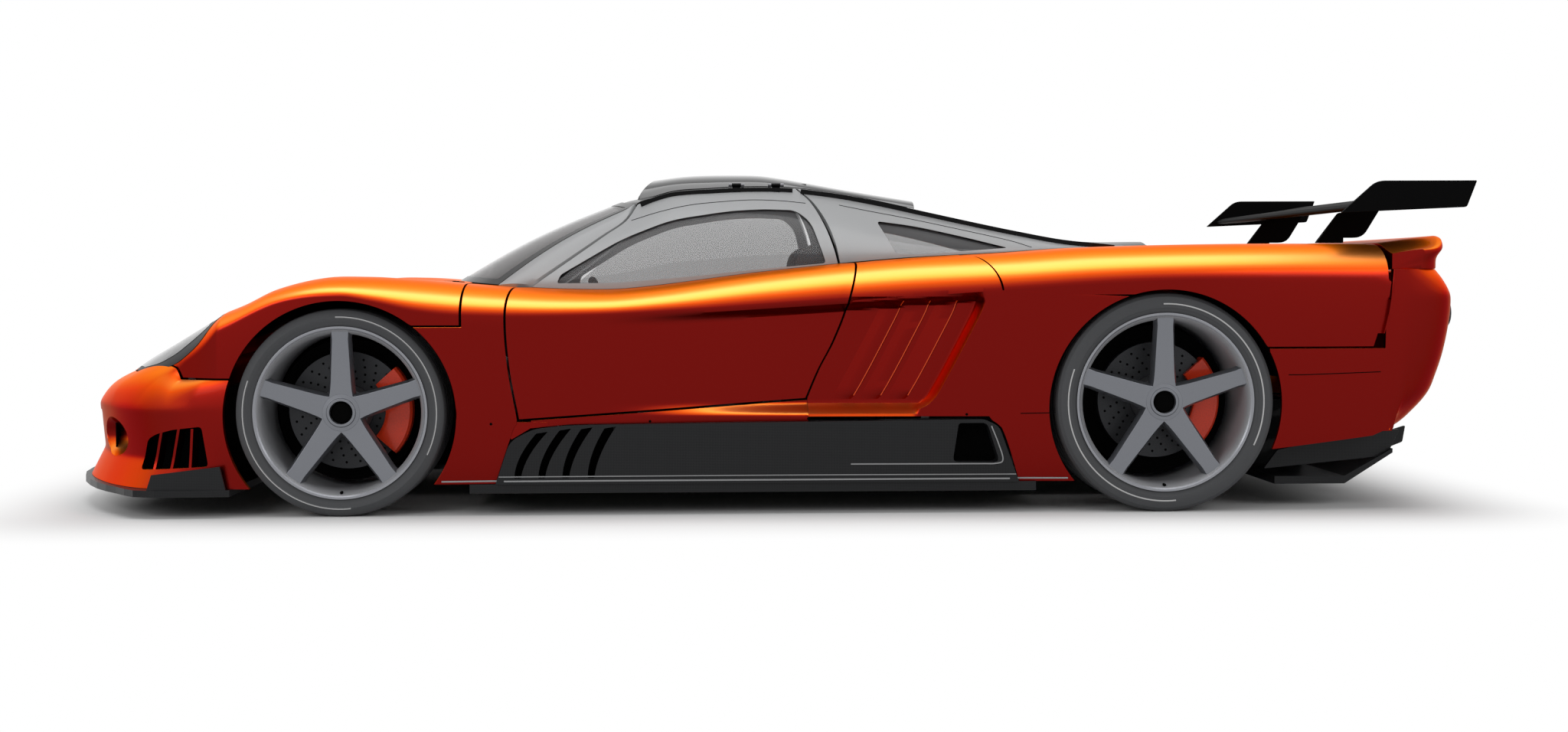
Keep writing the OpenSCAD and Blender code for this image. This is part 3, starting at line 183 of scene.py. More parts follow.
def arch_x(arch, z, side):
    cx, r, cz = arch
    return cx + side * np.sqrt(np.maximum(r ** 2 - (z - cz) ** 2, 0))


# ---------- mesh helpers ----------
def new_mesh(name, verts, faces, mat=None, angle=35):
    """A closed mesh from points in millimetres; loose points go and the faces look outwards."""
    bm = bmesh.new()
    vs = [bm.verts.new(tuple(v)) for v in np.asarray(verts, float) * MM]
    for f in faces:
        bm.faces.new([vs[i] for i in f]).smooth = True
    bmesh.ops.delete(bm, geom=[v for v in bm.verts if not v.link_faces], context="VERTS")
    bmesh.ops.recalc_face_normals(bm, faces=bm.faces)
    me = bpy.data.meshes.new(name)
    bm.to_mesh(me)
    bm.free()
    if mat:
        me.materials.append(mat)
    me.set_sharp_from_angle(angle=math.radians(angle))
    return placed(name, me)


def placed(name, data):
    o = bpy.data.objects.new(name, data)
    bpy.context.collection.objects.link(o)
    return o


def piece(o, nodes=(), bevel=0.0, body="chassis", seg=2):
    """Rounds the piece's edges, if a width is given, hangs it on the body it rides on and hides the CAD nodes
    it stands for.
    """
    if bevel:
        b = o.modifiers.new("edge", "BEVEL")
        b.width = bevel * MM
        b.segments = seg
        b.limit_method = "ANGLE"
        b.angle_limit = math.radians(50)
        b.harden_normals = True
    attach(o, body)
    for n in nodes:
        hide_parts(n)


def normals(g):
    n = np.cross(np.gradient(g, axis=0), np.gradient(g, axis=1))
    return n / np.maximum(np.linalg.norm(n, axis=-1, keepdims=True), 1e-9)


def shell_faces(ni, nj, keep=None):
    """Faces of a plate between an outer and an inner grid of ni by nj points."""
    on = np.zeros((ni + 1, nj + 1), bool)
    on[1:ni, 1:nj] = True if keep is None else keep
    n = ni * nj
    fs = []
    for i in range(ni - 1):
        for j in range(nj - 1):
            if not on[i + 1, j + 1]:
                continue
            a, b, c, d = i * nj + j, (i + 1) * nj + j, (i + 1) * nj + j + 1, i * nj + j + 1
            fs += [(a, b, c, d), (d + n, c + n, b + n, a + n)]
            for open_side, p, q in ((on[i + 1, j], a, b), (on[i + 1, j + 2], c, d), (on[i, j + 1], d, a),
                    (on[i + 2, j + 1], b, c)):
                if not open_side:
                    fs.append((p, p + n, q + n, q))
    return fs


def loft_faces(rows, k, closed=False):
    """Faces of a tube through rows of k points; an open tube gets its two ends."""
    f = [(i * k + j, i * k + (j + 1) % k, (i + 1) % rows * k + (j + 1) % k, (i + 1) % rows * k + j)
        for i in range(rows if closed else rows - 1) for j in range(k)]
    return f if closed else f + [tuple(range(k)), tuple(range((rows - 1) * k, rows * k))]


def sided(v, f, sides, turn=True):
    """A mesh made for the right, put on the right, the left or both; turn reverses the left's faces."""
    signs = {"right": (1,), "left": (-1,), "both": (1, -1)}[sides]
    fs = [tuple(i + k * len(v) for i in (q[::-1] if s < 0 and turn else q)) for k,
        s in enumerate(signs) for q in f]
    return np.concatenate([v * [1, s, 1] for s in signs]), fs


def shell(name, g, t, mat, keep=None, inner=None, sides="right", angle=35):
    """A curved plate of thickness t inwards from an outer grid."""
    h = g - t * normals(g) if inner is None else inner
    v = np.concatenate([g.reshape(-1, 3), h.reshape(-1, 3)])
    return new_mesh(name, *sided(v, shell_faces(*g.shape[:2], keep), sides), mat, angle)


def prism(name, pts, y0, y1, mat=None, axis="y", sides="right"):
    """An outline in the two other directions, made solid from y0 to y1 along the axis."""
    p = np.asarray(pts, float)
    n = len(p)
    v = np.concatenate([np.insert(p, "xyz".index(axis), y, axis=1) for y in (y0, y1)])
    f = [tuple(range(n))[::-1], tuple(range(n, 2 * n))]
    f += [(i, (i + 1) % n, (i + 1) % n + n, i + n) for i in range(n)]
    return new_mesh(name, *sided(v, f, sides), mat)


def rect(a, b, c, d):
    return [[a, c], [b, c], [b, d], [a, d]]


def on_side(s, a, b):
    """From a to b on the side s, lowest first."""
    return sorted((s * a, s * b))


def rounded(pts, r, n=6):
    """An outline with its corners rounded."""
    p = np.asarray(pts, float)
    out = []
    for i in range(len(p)):
        a, b, c = p[i - 1], p[i], p[(i + 1) % len(p)]
        u, v = a - b, c - b
        lu, lv = np.linalg.norm(u), np.linalg.norm(v)
        ri = r[i] if hasattr(r, "__len__") else r
        d = min(ri, lu * 0.45, lv * 0.45)
        s, e = b + u / lu * d, b + v / lv * d
        for k in range(n + 1):
            t = k / n
            out.append((1 - t) ** 2 * s + 2 * t * (1 - t) * b + t * t * e)
    return np.array(out)


def lathe(name, profile, mat, centre, n=96, side=1, angle=35, arc=(0, 360)):
    """A ring round the y axis, or an arc of one in degrees; the profile is (radius, y outwards)."""
    p = np.asarray(profile, float)
    closed = arc[1] - arc[0] == 360
    m = n if closed else n + 1
    a = math.radians(arc[0]) + math.radians(arc[1] - arc[0]) * np.arange(m) / n
    v = xyz(np.outer(np.cos(a), p[:, 0]), side * p[None, :, 1], np.outer(np.sin(a), p[:, 0]))
    f = loft_faces(m, len(p), closed)
    if not closed:
        f[-2] = f[-2][::-1]
    if side < 0:
        f = [q[::-1] for q in f]
    return new_mesh(name, v.reshape(-1, 3) + np.asarray(centre), f, mat, angle)


def strip(name, pts, width, mat, lift=0.8, deep=3.0, surface=side_width, sides="both", n=10):
    """A thin line on the car's side through points in x and z; its width is across the line."""
    p = np.asarray(pts, float)
    t = np.linspace(0, len(p) - 1, (len(p) - 1) * n + 1)
    q = np.stack([curve(np.stack([np.arange(len(p)), p[:, k]], 1), t) for k in (0, 1)], 1)
    d = np.gradient(q, axis=0)
    d /= np.maximum(np.linalg.norm(d, axis=1, keepdims=True), 1e-9)
    c = np.stack([-d[:, 1], d[:, 0]], 1) * width / 2
    y = surface(q[:, 0], q[:, 1])
    rows = []
    for s, e in ((1, lift), (-1, lift), (-1, -deep), (1, -deep)):
        r = q + s * c
        rows.append(xyz(r[:, 0], y + e, r[:, 1]))
    v = np.stack(rows, 1).reshape(-1, 3)
    return new_mesh(name, *sided(v, loft_faces(len(q), 4), sides, turn=False), mat, 40)


def join(name, objs):
    bpy.ops.object.select_all(action="DESELECT")
    for o in objs:
        o.select_set(True)
    bpy.context.view_layer.objects.active = objs[0]
    bpy.ops.object.join()
    objs[0].name = name
    objs[0].data.name = name
    return objs[0]


def cut(o, c):
    """Takes the cutter c out of the piece o."""
    m = o.modifiers.new("cut", "BOOLEAN")
    m.operation = "DIFFERENCE"
    m.solver = "EXACT"
    m.object = c
    bpy.context.view_layer.objects.active = o
    bpy.ops.object.modifier_apply(modifier=m.name)
    bpy.data.objects.remove(c)
    o.data.set_sharp_from_angle(angle=math.radians(35))


# ---------- materials ----------
def node(nt, kind, inputs=None, **props):
    """A shader node; each input is a value or another node's output."""
    n = nt.nodes.new("ShaderNode" + kind)
    for k, v in props.items():
        setattr(n, k, v)
    for k, v in (inputs or {}).items():
        if isinstance(v, bpy.types.NodeSocket):
            nt.links.new(v, n.inputs[k])
        else:
            n.inputs[k].default_value = v
    return n


def math_node(nt, op, *values):
    return node(nt, "Math", dict(enumerate(values)), operation=op).outputs[0]


def material(name, color, rough=0.5, metallic=0.0, coat=0.0, spec=0.5, coat_rough=0.04):
    m = bpy.data.materials.new(name)
    m.use_nodes = True
    b = m.node_tree.nodes["Principled BSDF"]
    for k, v in (("Base Color", (*color, 1)), ("Roughness", rough), ("Metallic", metallic),
            ("Coat Weight", coat), ("Coat Roughness", coat_rough), ("Specular IOR Level", spec)):
        b.inputs[k].default_value = v
    return m, m.node_tree, b


def noise(nt, scale, detail):
    place = node(nt, "TexCoord").outputs["Object"]
    return node(nt, "TexNoise", {"Vector": place, "Scale": scale, "Detail": detail}).outputs[0]


def ramp(nt, b, source, stops):
    """Base colour from a source through colour stops."""
    r = node(nt, "ValToRGB", {0: source})
    e = r.color_ramp.elements
    e[0].position, e[0].color = stops[0][0], (*stops[0][1], 1)
    e[1].position, e[1].color = stops[-1][0], (*stops[-1][1], 1)
    for p, c in stops[1:-1]:
        e.new(p).color = (*c, 1)
    nt.links.new(r.outputs[0], b.inputs["Base Color"])


def bump(nt, b, source, strength, distance):
    n = node(nt, "Bump", {"Strength": strength, "Distance": distance, "Height": source})
    nt.links.new(n.outputs[0], b.inputs["Normal"])


def shaded(nt, b, base, source, amount):
    """Base colour with a slow, slight change of tone from a texture."""
    ramp(nt, b, source, [(0.3, [max(c * (1 - amount), 0) for c in base]),
        (0.7, [min(c * (1 + amount), 1) for c in base])])


def plain(name, color, rough, metallic=0.0, coat=0.0, grain=400, amount=0.12, depth=0.00003, spec=0.5):
    m, nt, b = material(name, color, rough, metallic, coat, spec)
    t = noise(nt, grain, 3)
    shaded(nt, b, color, t, amount)
    if depth:
        bump(nt, b, t, 0.3, depth)
    return m


def weave(name, a, c, rough, size):
    """Twill of carbon cloth: the product of two waves that cross on the slant."""
    m, nt, b = material(name, a, rough, 0.0, 0.1, spec=0.12)
    x, y, z = node(nt, "SeparateXYZ", {0: node(nt, "TexCoord").outputs["Object"]}).outputs
    h = math_node(nt, "ADD", x, y)
    v = math_node(nt, "ADD", z, math_node(nt, "MULTIPLY", y, 0.5))
    s1, s2 = (math_node(nt, "SINE", math_node(nt, "MULTIPLY", math_node(nt, op, h, v), FULL_TURN / size))
        for op in ("ADD", "SUBTRACT"))
    w = math_node(nt, "MULTIPLY_ADD", math_node(nt, "MULTIPLY", s1, s2), 0.5, 0.5)
    ramp(nt, b, w, [(0.35, a), (0.65, c)])
    bump(nt, b, w, 0.4, 0.00004)
    return m


def paint_material():
    """Metal paint with painted light and shade by which way it faces: dark red where it faces sideways, darker
    where it faces down, orange where it faces up, with a paler painted highlight on the shoulders.
    """
    m, nt, b = material("paint_with_painted_shade", (0.8, 0.1, 0.01), 0.33, 1.0, 0.05, coat_rough=0.03, spec=0.3)
    b.inputs["Specular Tint"].default_value = (1.0, 0.36, 0.20, 1)
    facing = node(nt, "SeparateXYZ", {0: node(nt, "NewGeometry").outputs["Normal"]}).outputs[2]
    flake = noise(nt, 900, 1)
    up = math_node(nt, "MULTIPLY_ADD", flake, 0.08, facing)
    mr = node(nt, "MapRange", {"From Min": -0.46, "From Max": 1.04, "Value": up})
    # painted shade on the sides and underneath, and a paler painted highlight band at stop 0.82 where the skin
    # faces up at a slant
    stops = [(-0.5, (0.10, 0.003, 0.002)), (0.02, (0.17, 0.0050, 0.0035)), (0.12, (0.21, 0.007, 0.004)),
        (0.26, (0.40, 0.022, 0.006)), (0.45, (0.78, 0.085, 0.006)), (0.65, (0.96, 0.24, 0.030)),
        (0.82, (0.98, 0.34, 0.085)), (1.0, (0.96, 0.25, 0.012))]
    ramp(nt, b, mr.outputs[0], [((p + 0.5) / 1.5, c) for p, c in stops])
    bump(nt, b, flake, 0.10, 0.00002)
    return m


def glass_material(name, base, alpha):
    m, nt, b = material(name, base, 0.05)
    b.inputs["Alpha"].default_value = alpha
    m.blend_method = "BLEND"
    b.inputs["IOR"].default_value = 1.45
    shaded(nt, b, base, noise(nt, 3, 2), 0.06)
    return m


PAINT = paint_material()
BLACK = plain("gloss_black_coat", (0.0025, 0.0025, 0.0028), 0.20, 0.0, 0.05, 60, 0.3, 0, 0.08)
SCOOP = plain("scoop_black_coat", (0.006, 0.006, 0.007), 0.16, 0.0, 0.7, 60, 0.3, 0)
WING = plain("wing_black", (0.0014, 0.0014, 0.0015), 0.6, grain=300, amount=0.3, depth=0, spec=0.03)
BARREL = plain("barrel_silver", (0.30, 0.305, 0.32), 0.5, 0.25, grain=900, amount=0.06)
SATIN = plain("satin_black", (0.008, 0.008, 0.009), 0.45, grain=300, amount=0.3, spec=0.25)
CARBON = weave("carbon_twill", (0.006, 0.006, 0.007), (0.018, 0.019, 0.020), 0.42, 0.007)
# near black: the arch liners, the tail mesh and the shields behind the discs, and dark plates behind openings
# as painted shade
LINER_AND_SHADE = plain("liner_and_shade_black", (0.0025, 0.0025, 0.0025), 0.9, grain=200, amount=0.4, spec=0.02)
GREY = plain("frame_grey_coat", (0.255, 0.26, 0.265), 0.42, 0.1, 0.1, grain=500, amount=0.05)
SILVER = plain("wheel_silver_coat", (0.165, 0.172, 0.19), 0.36, 0.8, 0.2, grain=900, amount=0.08)
MACHINED = plain("machined_rim", (0.24, 0.245, 0.265), 0.26, 0.9, 0.1, grain=1200, amount=0.08)
STEEL = plain("satin_steel", (0.18, 0.18, 0.19), 0.38, 0.85, grain=500, amount=0.15)
DISC = plain("disc_iron", (0.030, 0.031, 0.034), 0.42, 0.5, grain=700, amount=0.3, spec=0.3)
# near black: painted shade in the brake discs' holes and the bonnet slots; also the dark seams, the studs and
# small dark spots on the wheels
HOLE_SHADE_AND_SEAMS = plain("hole_shade_and_seam_black", (0.002, 0.002, 0.002), 0.9, grain=300, amount=0.3, spec=0.02)
CALIPER = plain("caliper_enamel", (0.82, 0.045, 0.008), 0.35, 0.0, 0.2, grain=250, amount=0.10, spec=0.3)
TYRE = plain("tyre_rubber_skin", (0.070, 0.072, 0.076), 0.62, grain=900, amount=0.15, depth=0.00006, spec=0.2)
MARK = plain("sidewall_line", (0.50, 0.50, 0.50), 0.7, grain=500, amount=0.1)
LENS_RED = plain("red_lens_skin", (0.30, 0.004, 0.004), 0.12, coat=0.8, grain=120, amount=0.3)
CHROME = plain("polished_tip", (0.40, 0.40, 0.41), 0.14, 1.0, grain=300, amount=0.06, depth=0)
DARK = plain("dash_grain", (0.014, 0.014, 0.015), 0.7, grain=700, amount=0.35, depth=0.0001, spec=0.2)
GLASS = glass_material("tinted_glass", (0.10, 0.10, 0.105), 0.30)
# windscreen: a dark reddish base, partly the glass's own tint and partly a painted reflection of the red body
SCREEN_TINT_AND_REFLECTION = glass_material("windscreen_tint_and_painted_reflection", (0.03, 0.02, 0.02), 0.62)
LENS = plain("lamp_glass", (0.15, 0.15, 0.155), 0.12, 0.0, 0.3, grain=30, amount=0.3, depth=0, spec=0.3)
# bright orange-red for the louvres' edges: a painted highlight where they catch the light
EDGE_HIGHLIGHT = plain("painted_edge_highlight", (0.62, 0.060, 0.008), 0.4, 0.2, grain=500, amount=0.1, depth=0, spec=0.3)
SEAT = plain("seat_suede", (0.050, 0.050, 0.054), 0.85, grain=800, amount=0.35, depth=0.0002, spec=0.25)


# ---------- body grids ----------
def along(line, a):
    """A point on a line of six points, for a from 0 to 1."""
    t = np.asarray(a, float) * 5
    return np.stack([curve([[i, p[k]] for i, p in enumerate(line)], t) for k in range(3)], -1)


def spans(*parts):
    """Stations: (start, end, steps) runs joined without repeats."""
    out = [parts[0][0]]
    for a, b, n in parts:
        out += list(np.linspace(a, b, n + 1)[1:])
    return np.array(out, float)


def mirror_half(g, axis=1):
    """Both halves of a grid whose first line along the axis is at y = 0."""
    g = np.moveaxis(g, axis, 0)
    return np.moveaxis(np.concatenate([g[:0:-1] * MIRROR, g]), 0, axis)


def all_faces(g):
    return np.ones((g.shape[0] - 1, g.shape[1] - 1), bool)


nose_rim = pairs(-2223,0, -2223,.5, -2223,1, -2071,2, -2044,3, -1713,3)
nose_edge = triples(-2353,0,345, -2302,350,345, -2190,622,345, -2062,812,345, -1920,916,350, -1733,966,360)
nose_low = triples(-2335,0,190, -2284,350,190, -2172,630,190, -2045,818,190, -1915,922,190, -1708,968,190)
nose_lip = triples(-2385,0,93, -2334,350,93, -2215,640,93, -2078,842,93, -1935,936,93, -1660,966,93)


def nose_point(a, b):
    """The bumper: a goes from the middle to the arch, b from the rim at 0 to the lip at 3."""
    a, b = np.broadcast_arrays(np.asarray(a, float), np.asarray(b, float))
    t, k = a * 5, np.arange(6)
    top = body_point(np.interp(t, k, nose_rim[:, 0]), np.interp(t, k, nose_rim[:, 1]), 445)
    edge, low, lip = along(nose_edge, a), along(nose_low, a), along(nose_lip, a)
    b3 = b[..., None]
    s = np.sin(np.pi * b)
    return np.where(b3 <= 1, mix(top, edge, b3) + xyz(-12 * s, 0, 14 * s),
        np.where(b3 <= 2, mix(edge, low, b3 - 1), mix(low, lip, b3 - 2)))


A = spans((0, 0.9, 72), (0.9, 1, 8))
B = spans((0, 1, 18), (1, 2, 26), (2, 3, 16))
g = nose_point(np.minimum(A, 0.9)[:, None], B[None, :])
e = nose_point(np.ones((1, 1)), B[None, :])[0]
e[:, 0] = arch_x(FRONT_ARCH, e[:, 2], -1)
g = mix(g, e[None], clip01((A - 0.9) / 0.1)[:, None, None])
for _ in range(3):  # softens the edges between the bumper's faces
    g[:, 1:-1] = (g[:, :-2] + 2 * g[:, 1:-1] + g[:, 2:]) / 4
NOSE = mirror_half(g, 0)
bumper = shell("nose_skin", NOSE, 14, PAINT)
# main intake, corner vents and the two oval mouths
INTAKE = rounded(pairs(-455,322, 455,322, 395,203, -395,203), [26, 26, 30, 30])
cut(bumper, prism("c", INTAKE, -2600, -2150, axis="x"))
VENT = pairs(-2024,150, -1998,250, -1966,268, -1906,284, -1806,296, -1784,166)
MY, MZ = -640, 243
MOUTH = np.array([[MY + 128 * math.cos(k * math.pi / 16), MZ + 66 * math.sin(k * math.pi / 16)]
    for k in range(32)])
for s in (-1, 1):
    cut(bumper, prism("c", rounded(VENT, 14), *on_side(s, 700, 1050)))
    cut(bumper, prism("c", MOUTH * [-s, 1], -2600, -2000, axis="x"))
piece(bumper, ["front_bumper"], 2.0)
near = NOSE[NOSE[..., 1] > 0]


def on_nose(p, axes, want):
    """The nose's third coordinate at a point given by two others, from the four nearest samples."""
    d = np.linalg.norm(near[:, axes] - p, axis=1)
    i = np.argsort(d)[:4]
    w = 1 / (d[i] + 0.5)
    return float(np.sum(near[i, want] * w) / w.sum())


# vanes in the corner vents, and a funnel behind each mouth
fins = []
for s in (-1, 1):
    for lo, hi in ((-1972, -1944), (-1910, -1884), (-1846, -1838)):
        rings = []
        for z in np.linspace(150, 288, 9):
            x = mix(lo, hi, (z - 150) / 138)
            y = on_nose([x, z], [0, 2], 1) - 3
            rings += [(x - 4, s * y, z), (x + 4, s * y, z), (x + 10, s * (y - 60), z), (x + 2, s * (y - 60), z)]
        fins.append(new_mesh("f", rings, loft_faces(9, 4), PAINT))
    rings = [(on_nose([-y, z], [1, 2], 0) + deep, s * (-MY - (y - MY) * k), MZ + (z - MZ) * k)
        for deep, k in ((1, 1.0), (16, 0.96), (90, 0.72), (90, 0.70), (14, 0.93)) for y, z in MOUTH]
    fins.append(new_mesh("f", rings, loft_faces(5, 32, True), PAINT))
piece(join("nose_fins", fins))
# black plates behind the corner vents, the main intake and the oval mouths: painted shade inside the openings
CORNER = rounded(pairs(-2050,120, -2050,250, -1960,320, -1765,330, -1765,120), 10)
back = [prism("k", CORNER, 790, 796, LINER_AND_SHADE, sides="both")]
for y0, y1, top, x in ((-560, 560, 340, -2190), (-735, -530, 320, -2092), (530, 735, 320, -2092)):
    back.append(prism("k", rect(y0, y1, 170, top), x, x + 4, LINER_AND_SHADE, axis="x"))
piece(join("nose_shade_plates", back))

# clamshell
CX = spans((-2216, -2059, 24), (-2059, -2030, 6), (-2030, -1745, 26), (-1745, -1690, 12), (-1690, -1126, 60),
    (-1126, -972, 14))
CV = np.linspace(0, 1, 53)


def clam_low(x):
    return np.maximum(np.where(x < FX, 452, 622), arch_top(FRONT_ARCH, x))


def clam_reach(x):
    return np.where(x < -2059, mix(1, 2, (x + 2216) / 157), np.where(x < -2030, mix(2, 3, (x + 2059) / 29), 3))


def clam_point(x, w):
    """The lid: its last stations follow the shut line in front of the windscreen."""
    p = body_point(x, w, clam_low(x))
    sc = np.minimum(-972, curve(lid_rear, np.abs(p[..., 1])))
    xt = np.where(x <= -1126, x, mix(-1126, sc, (x + 1126) / 154))
    return body_point(xt, w, clam_low(xt))


X2 = CX[:, None] + 0 * CV[None, :]
clam = shell("bonnet_skin", mirror_half(clam_point(X2, CV[None, :] * clam_reach(X2))), PANEL, PAINT)
piece(clam, ["front_clamshell"], 2.0, "front_lid")


# headlamps: a dark surround, and a pale lens over it, as thin patches between two lines on the lid
LOW = pairs(-2222,1.0, -2160,1.66, -2092,1.82, -2000,1.80, -1880,1.66, -1768,1.24)
UPP = pairs(-2222,0.94, -2160,0.80, -2092,0.76, -2000,0.76, -1880,0.80, -1768,1.10)
for name, x0, x1, above, below, rows, lift, t, mat in (
        ("headlamp_surround", -2218, -1770, 0, 1, 24, 1.6, 3.2, SATIN),
        ("headlamp_glass", -2196, -1850, 0.10, 0.72, 20, 3.0, 3.0, LENS)):
    x = mix(x0, x1, np.linspace(0, 1, 60))
    top, low = (mix(curve(UPP, x), curve(LOW, x), k)[:, None] for k in (above, below))
    v = np.linspace(0, 1, rows)[None, :]
    p = clam_point(x[:, None] + 0 * v, mix(top, low, v))
    nm = normals(p)
    o = shell(name, p + lift * nm, t, mat, inner=p + (lift - t) * nm, sides="both", angle=40)
    piece(o, ["headlamps"], body="front_lid")

# door edges as (height from 0 to 1 or 3, x, z)
door_front_low = triples(0,-783,315, 0.5,-812,470, 1,-823,645, 2,-805,738, 3,-759,750)
door_rear_low = triples(0,155,376, 0.3,196,460, 0.6,246,560, 1,292,690, 2,325,812, 3,276,822)
door_front_high = triples(0,-759,750, 0.35,-620,850, 0.65,-515,926, 0.85,-447,975, 1,-409,1034)
door_rear_high = triples(0,276,822, 0.3,262,880, 0.6,236,960, 0.85,196,1040, 1,150,1088)


def cut_x(t, h):
    return curve([[p[0], p[1]] for p in t], h)


def cut_z(t, h):
    return curve([[p[0], p[2]] for p in t], h)


def pod_front_x(z):
    return np.where(z > 290, 0, mix(-861, -814, (z - 102) / 141))


# side panel behind the front wheel: c runs from the arch to the lid's rear edge at 1 and the door at 2
LID_END, PANEL_TOP = -966, 616
W = spans((0.90, 1, 2), (1, 2, 16))
c = spans((0, 1, 12), (1, 2, 14))[:, None]
w = W[None, :]
x1 = mix(np.minimum(arch_x(FRONT_ARCH, PANEL_TOP, 1), -970) + 0 * w, LID_END, clip01(c))
x2 = np.minimum(cut_x(door_front_low, np.minimum(3 - w, 2.5)) - DGAP, -SEAM)
xa = np.where(c <= 1, x1, mix(LID_END, x2, clip01(c - 1)))
up = body_point(xa, w + 0 * c, 0)
z = spans((PANEL_TOP, 540, 10), (540, 102, 40))[None, :] + 0 * c
x1 = mix(np.minimum(arch_x(FRONT_ARCH, np.minimum(z, PANEL_TOP), 1), -970), LID_END, clip01(c))
x2 = np.minimum(cut_x(door_front_low, (z - 315) / 338) - DGAP, pod_front_x(z) - SEAM)
dn = side_point(np.where(c <= 1, x1, mix(LID_END, x2, clip01(c - 1))), z)
g = np.concatenate([up, dn], 1)
keep = all_faces(g)
keep[:12, :len(W)] = False
piece(shell("front_wing_side", g, PANEL, PAINT, keep, sides="both"), ["front_side_panels"], 2.0)
# the sill between the door and the pod, with its front corner
x = np.linspace(-745, 161.6, 90)[:, None]
v = np.linspace(1, 0, 15)[None, :]
z = mix(np.interp(x, [-745, -620, 162], [285, 296.5, 303.5]), 307.4 + 61 * (x + 783) / 938, v)
FOOT = pairs(-826,268, -808,249, -745,286, -690,295, -690,305, -790,305, -822,296)
sill = join("sill_line", [shell("s", side_point(x, z), PANEL, PAINT, sides="both"),
    prism("s", FOOT, 900, 948, PAINT, sides="both")])
piece(sill, (), 2.0)


# doors: painted skin below the belt, grey frame above
def glass_point(c, r):
    """The door above the belt: c goes from its front edge to its rear, r from the belt to the roof."""
    front, rear = door_front_high, door_rear_high
    x, x0, x1 = (mix(a, b, c) for a, b in ((cut_x(front, r), cut_x(rear, r)), (front[0][1], rear[0][1]),
        (front[-1][1], rear[-1][1])))
    z0, z1 = belt_z(x0), curve(strip_z, x1)
    q0, q1 = mix(front[0][2], rear[0][2], c), mix(front[-1][2], rear[-1][2], c)
    z = mix(cut_z(front, r), cut_z(rear, r), c) + mix(z0 - q0, z1 - q1, r)
    return xyz(x, glass_width(x, z), z)


def door_low_point(c, h):
    """The door below the belt: h goes from the sill at 0 past the crease at 1 to the belt's ledge at 3."""
    x = mix(cut_x(door_front_low, h), cut_x(door_rear_low, h), c)
    lo = side_point(x, mix(mix(315, 376, c), curve(side_z, x), h))
    t = clip01(h - 2)
    ledge = xyz(x, mix(curve(crest_y, x), curve(belt_y, x) + 3, t), curve(crest_z, x) + 3 * t)
    top = np.where((h > 2)[..., None], ledge, body_point(x, 3 - np.clip(h, 1, 2), 0))
    return np.where((h >= 1)[..., None], top, lo)


def grid(u, v):
    return np.meshgrid(u, v, indexing="ij")


across = np.linspace(0, 1, 61)
DLOW = door_low_point(*grid(across, spans((3, 2, 3), (2, 1, 16), (1, 0, 36))))
DHIGH = glass_point(*grid(across, spans((1, 0, 44))))
WINDOW = rounded(pairs(-676,757, -664,786, -462,908, -291,976, -85,1008, 32,1014, 142,1010, 192,968, 236,824,
    0,803, -250,777, -480,758), [10, 10, 60, 60, 60, 30, 24, 30, 12, 60, 60, 60])
for side, s in (("left", -1), ("right", 1)):
    body = side + "_door"
    skin = shell("door_skin_" + side, DLOW, 40, PAINT, sides=side)
    piece(skin, ["door_" + side], 2.0, body)
    top = shell("door_frame_" + side, DHIGH, 20, GREY, sides=side)
    cut(top, prism("c", WINDOW, *on_side(s, 380, 1100)))
    piece(top, ["door_" + side], 1.5, body)

# rear quarter with the intake hollow: columns run from the door to the lid's front at 6 and the arch at 9
LID_FRONT, ARCH_SIDE = 66, 72  # the columns at 6 and at 7
UNDER = 712  # height of the panel's edge below the lid


def quarter_x(c, x0, x6, edge):
    """Columns that bunch up at the rear wall of the hollow."""
    return np.where(c <= 4.6, mix(x0, edge - 28, c / 4.6), np.where(c <= 5.2,
        mix(edge - 28, edge + 2, (c - 4.6) / 0.6), mix(edge + 2, x6, (c - 5.2) / 0.8)))


QW = spans((0.93, 1, 2), (1, 2, 14))
QZ = spans((UNDER, 690, 4), (690, 318, 46), (318, 280, 3), (280, 102, 12))
lid_line = curve(pairs(0.93,0, 1,1, 1.35,2, 1.7,3, 2,4), QW)
c, w = spans((0, 4.6, 50), (4.6, 5.2, 8), (5.2, 6, 8), (6, 9, 18))[:, None], QW[None, :]
x0 = cut_x(door_rear_low, np.minimum(3 - w, 2.5)) + DGAP
x6 = curve(pairs(0,701, 1,701, 2,748, 3,786, 4,803, 5,812), lid_line)[None, :] - 6
xq = np.where(c <= 6, mix(mix(x0, x6, c / 6), quarter_x(c, x0, x6, 742.0), clip01(w - 1)), x6 + (c - 6))
ledge = mix((curve(belt_y, xq) + 8) / curve(crest_y, xq), 1, (w - 0.93) / 0.07)
up = body_point(xq, np.where(w < 1, ledge, w), 0)
z = QZ[None, :]
x0 = cut_x(door_rear_low, (z - 376) / 321) + DGAP
x6 = curve(pairs(100,742, 318,742, 712,806), z)
x7 = curve(pairs(102,860, 280,799, 318,757, 450,800, 712,850), z)
x9 = arch_x(REAR_ARCH, z, -1)
xz = np.where(c <= 6, quarter_x(c, x0, x6, intake_rear(z)), np.where(c <= 7, mix(x6, x7, c - 6),
    mix(x7, x9, (c - 7) / 2)))
g = np.concatenate([up, side_point(xz, z)], 1)
keep = all_faces(g)
nw = len(QW)
keep[LID_FRONT:, :nw - 1] = False
keep[:ARCH_SIDE, nw + int(np.searchsorted(-QZ, -318)):] = False
keep[:, nw - 1] = True
o = shell("rear_wing_side", g, PANEL, PAINT, keep, sides="both", angle=28)
piece(o, ["rear_quarter_left", "rear_quarter_right"], 1.5)
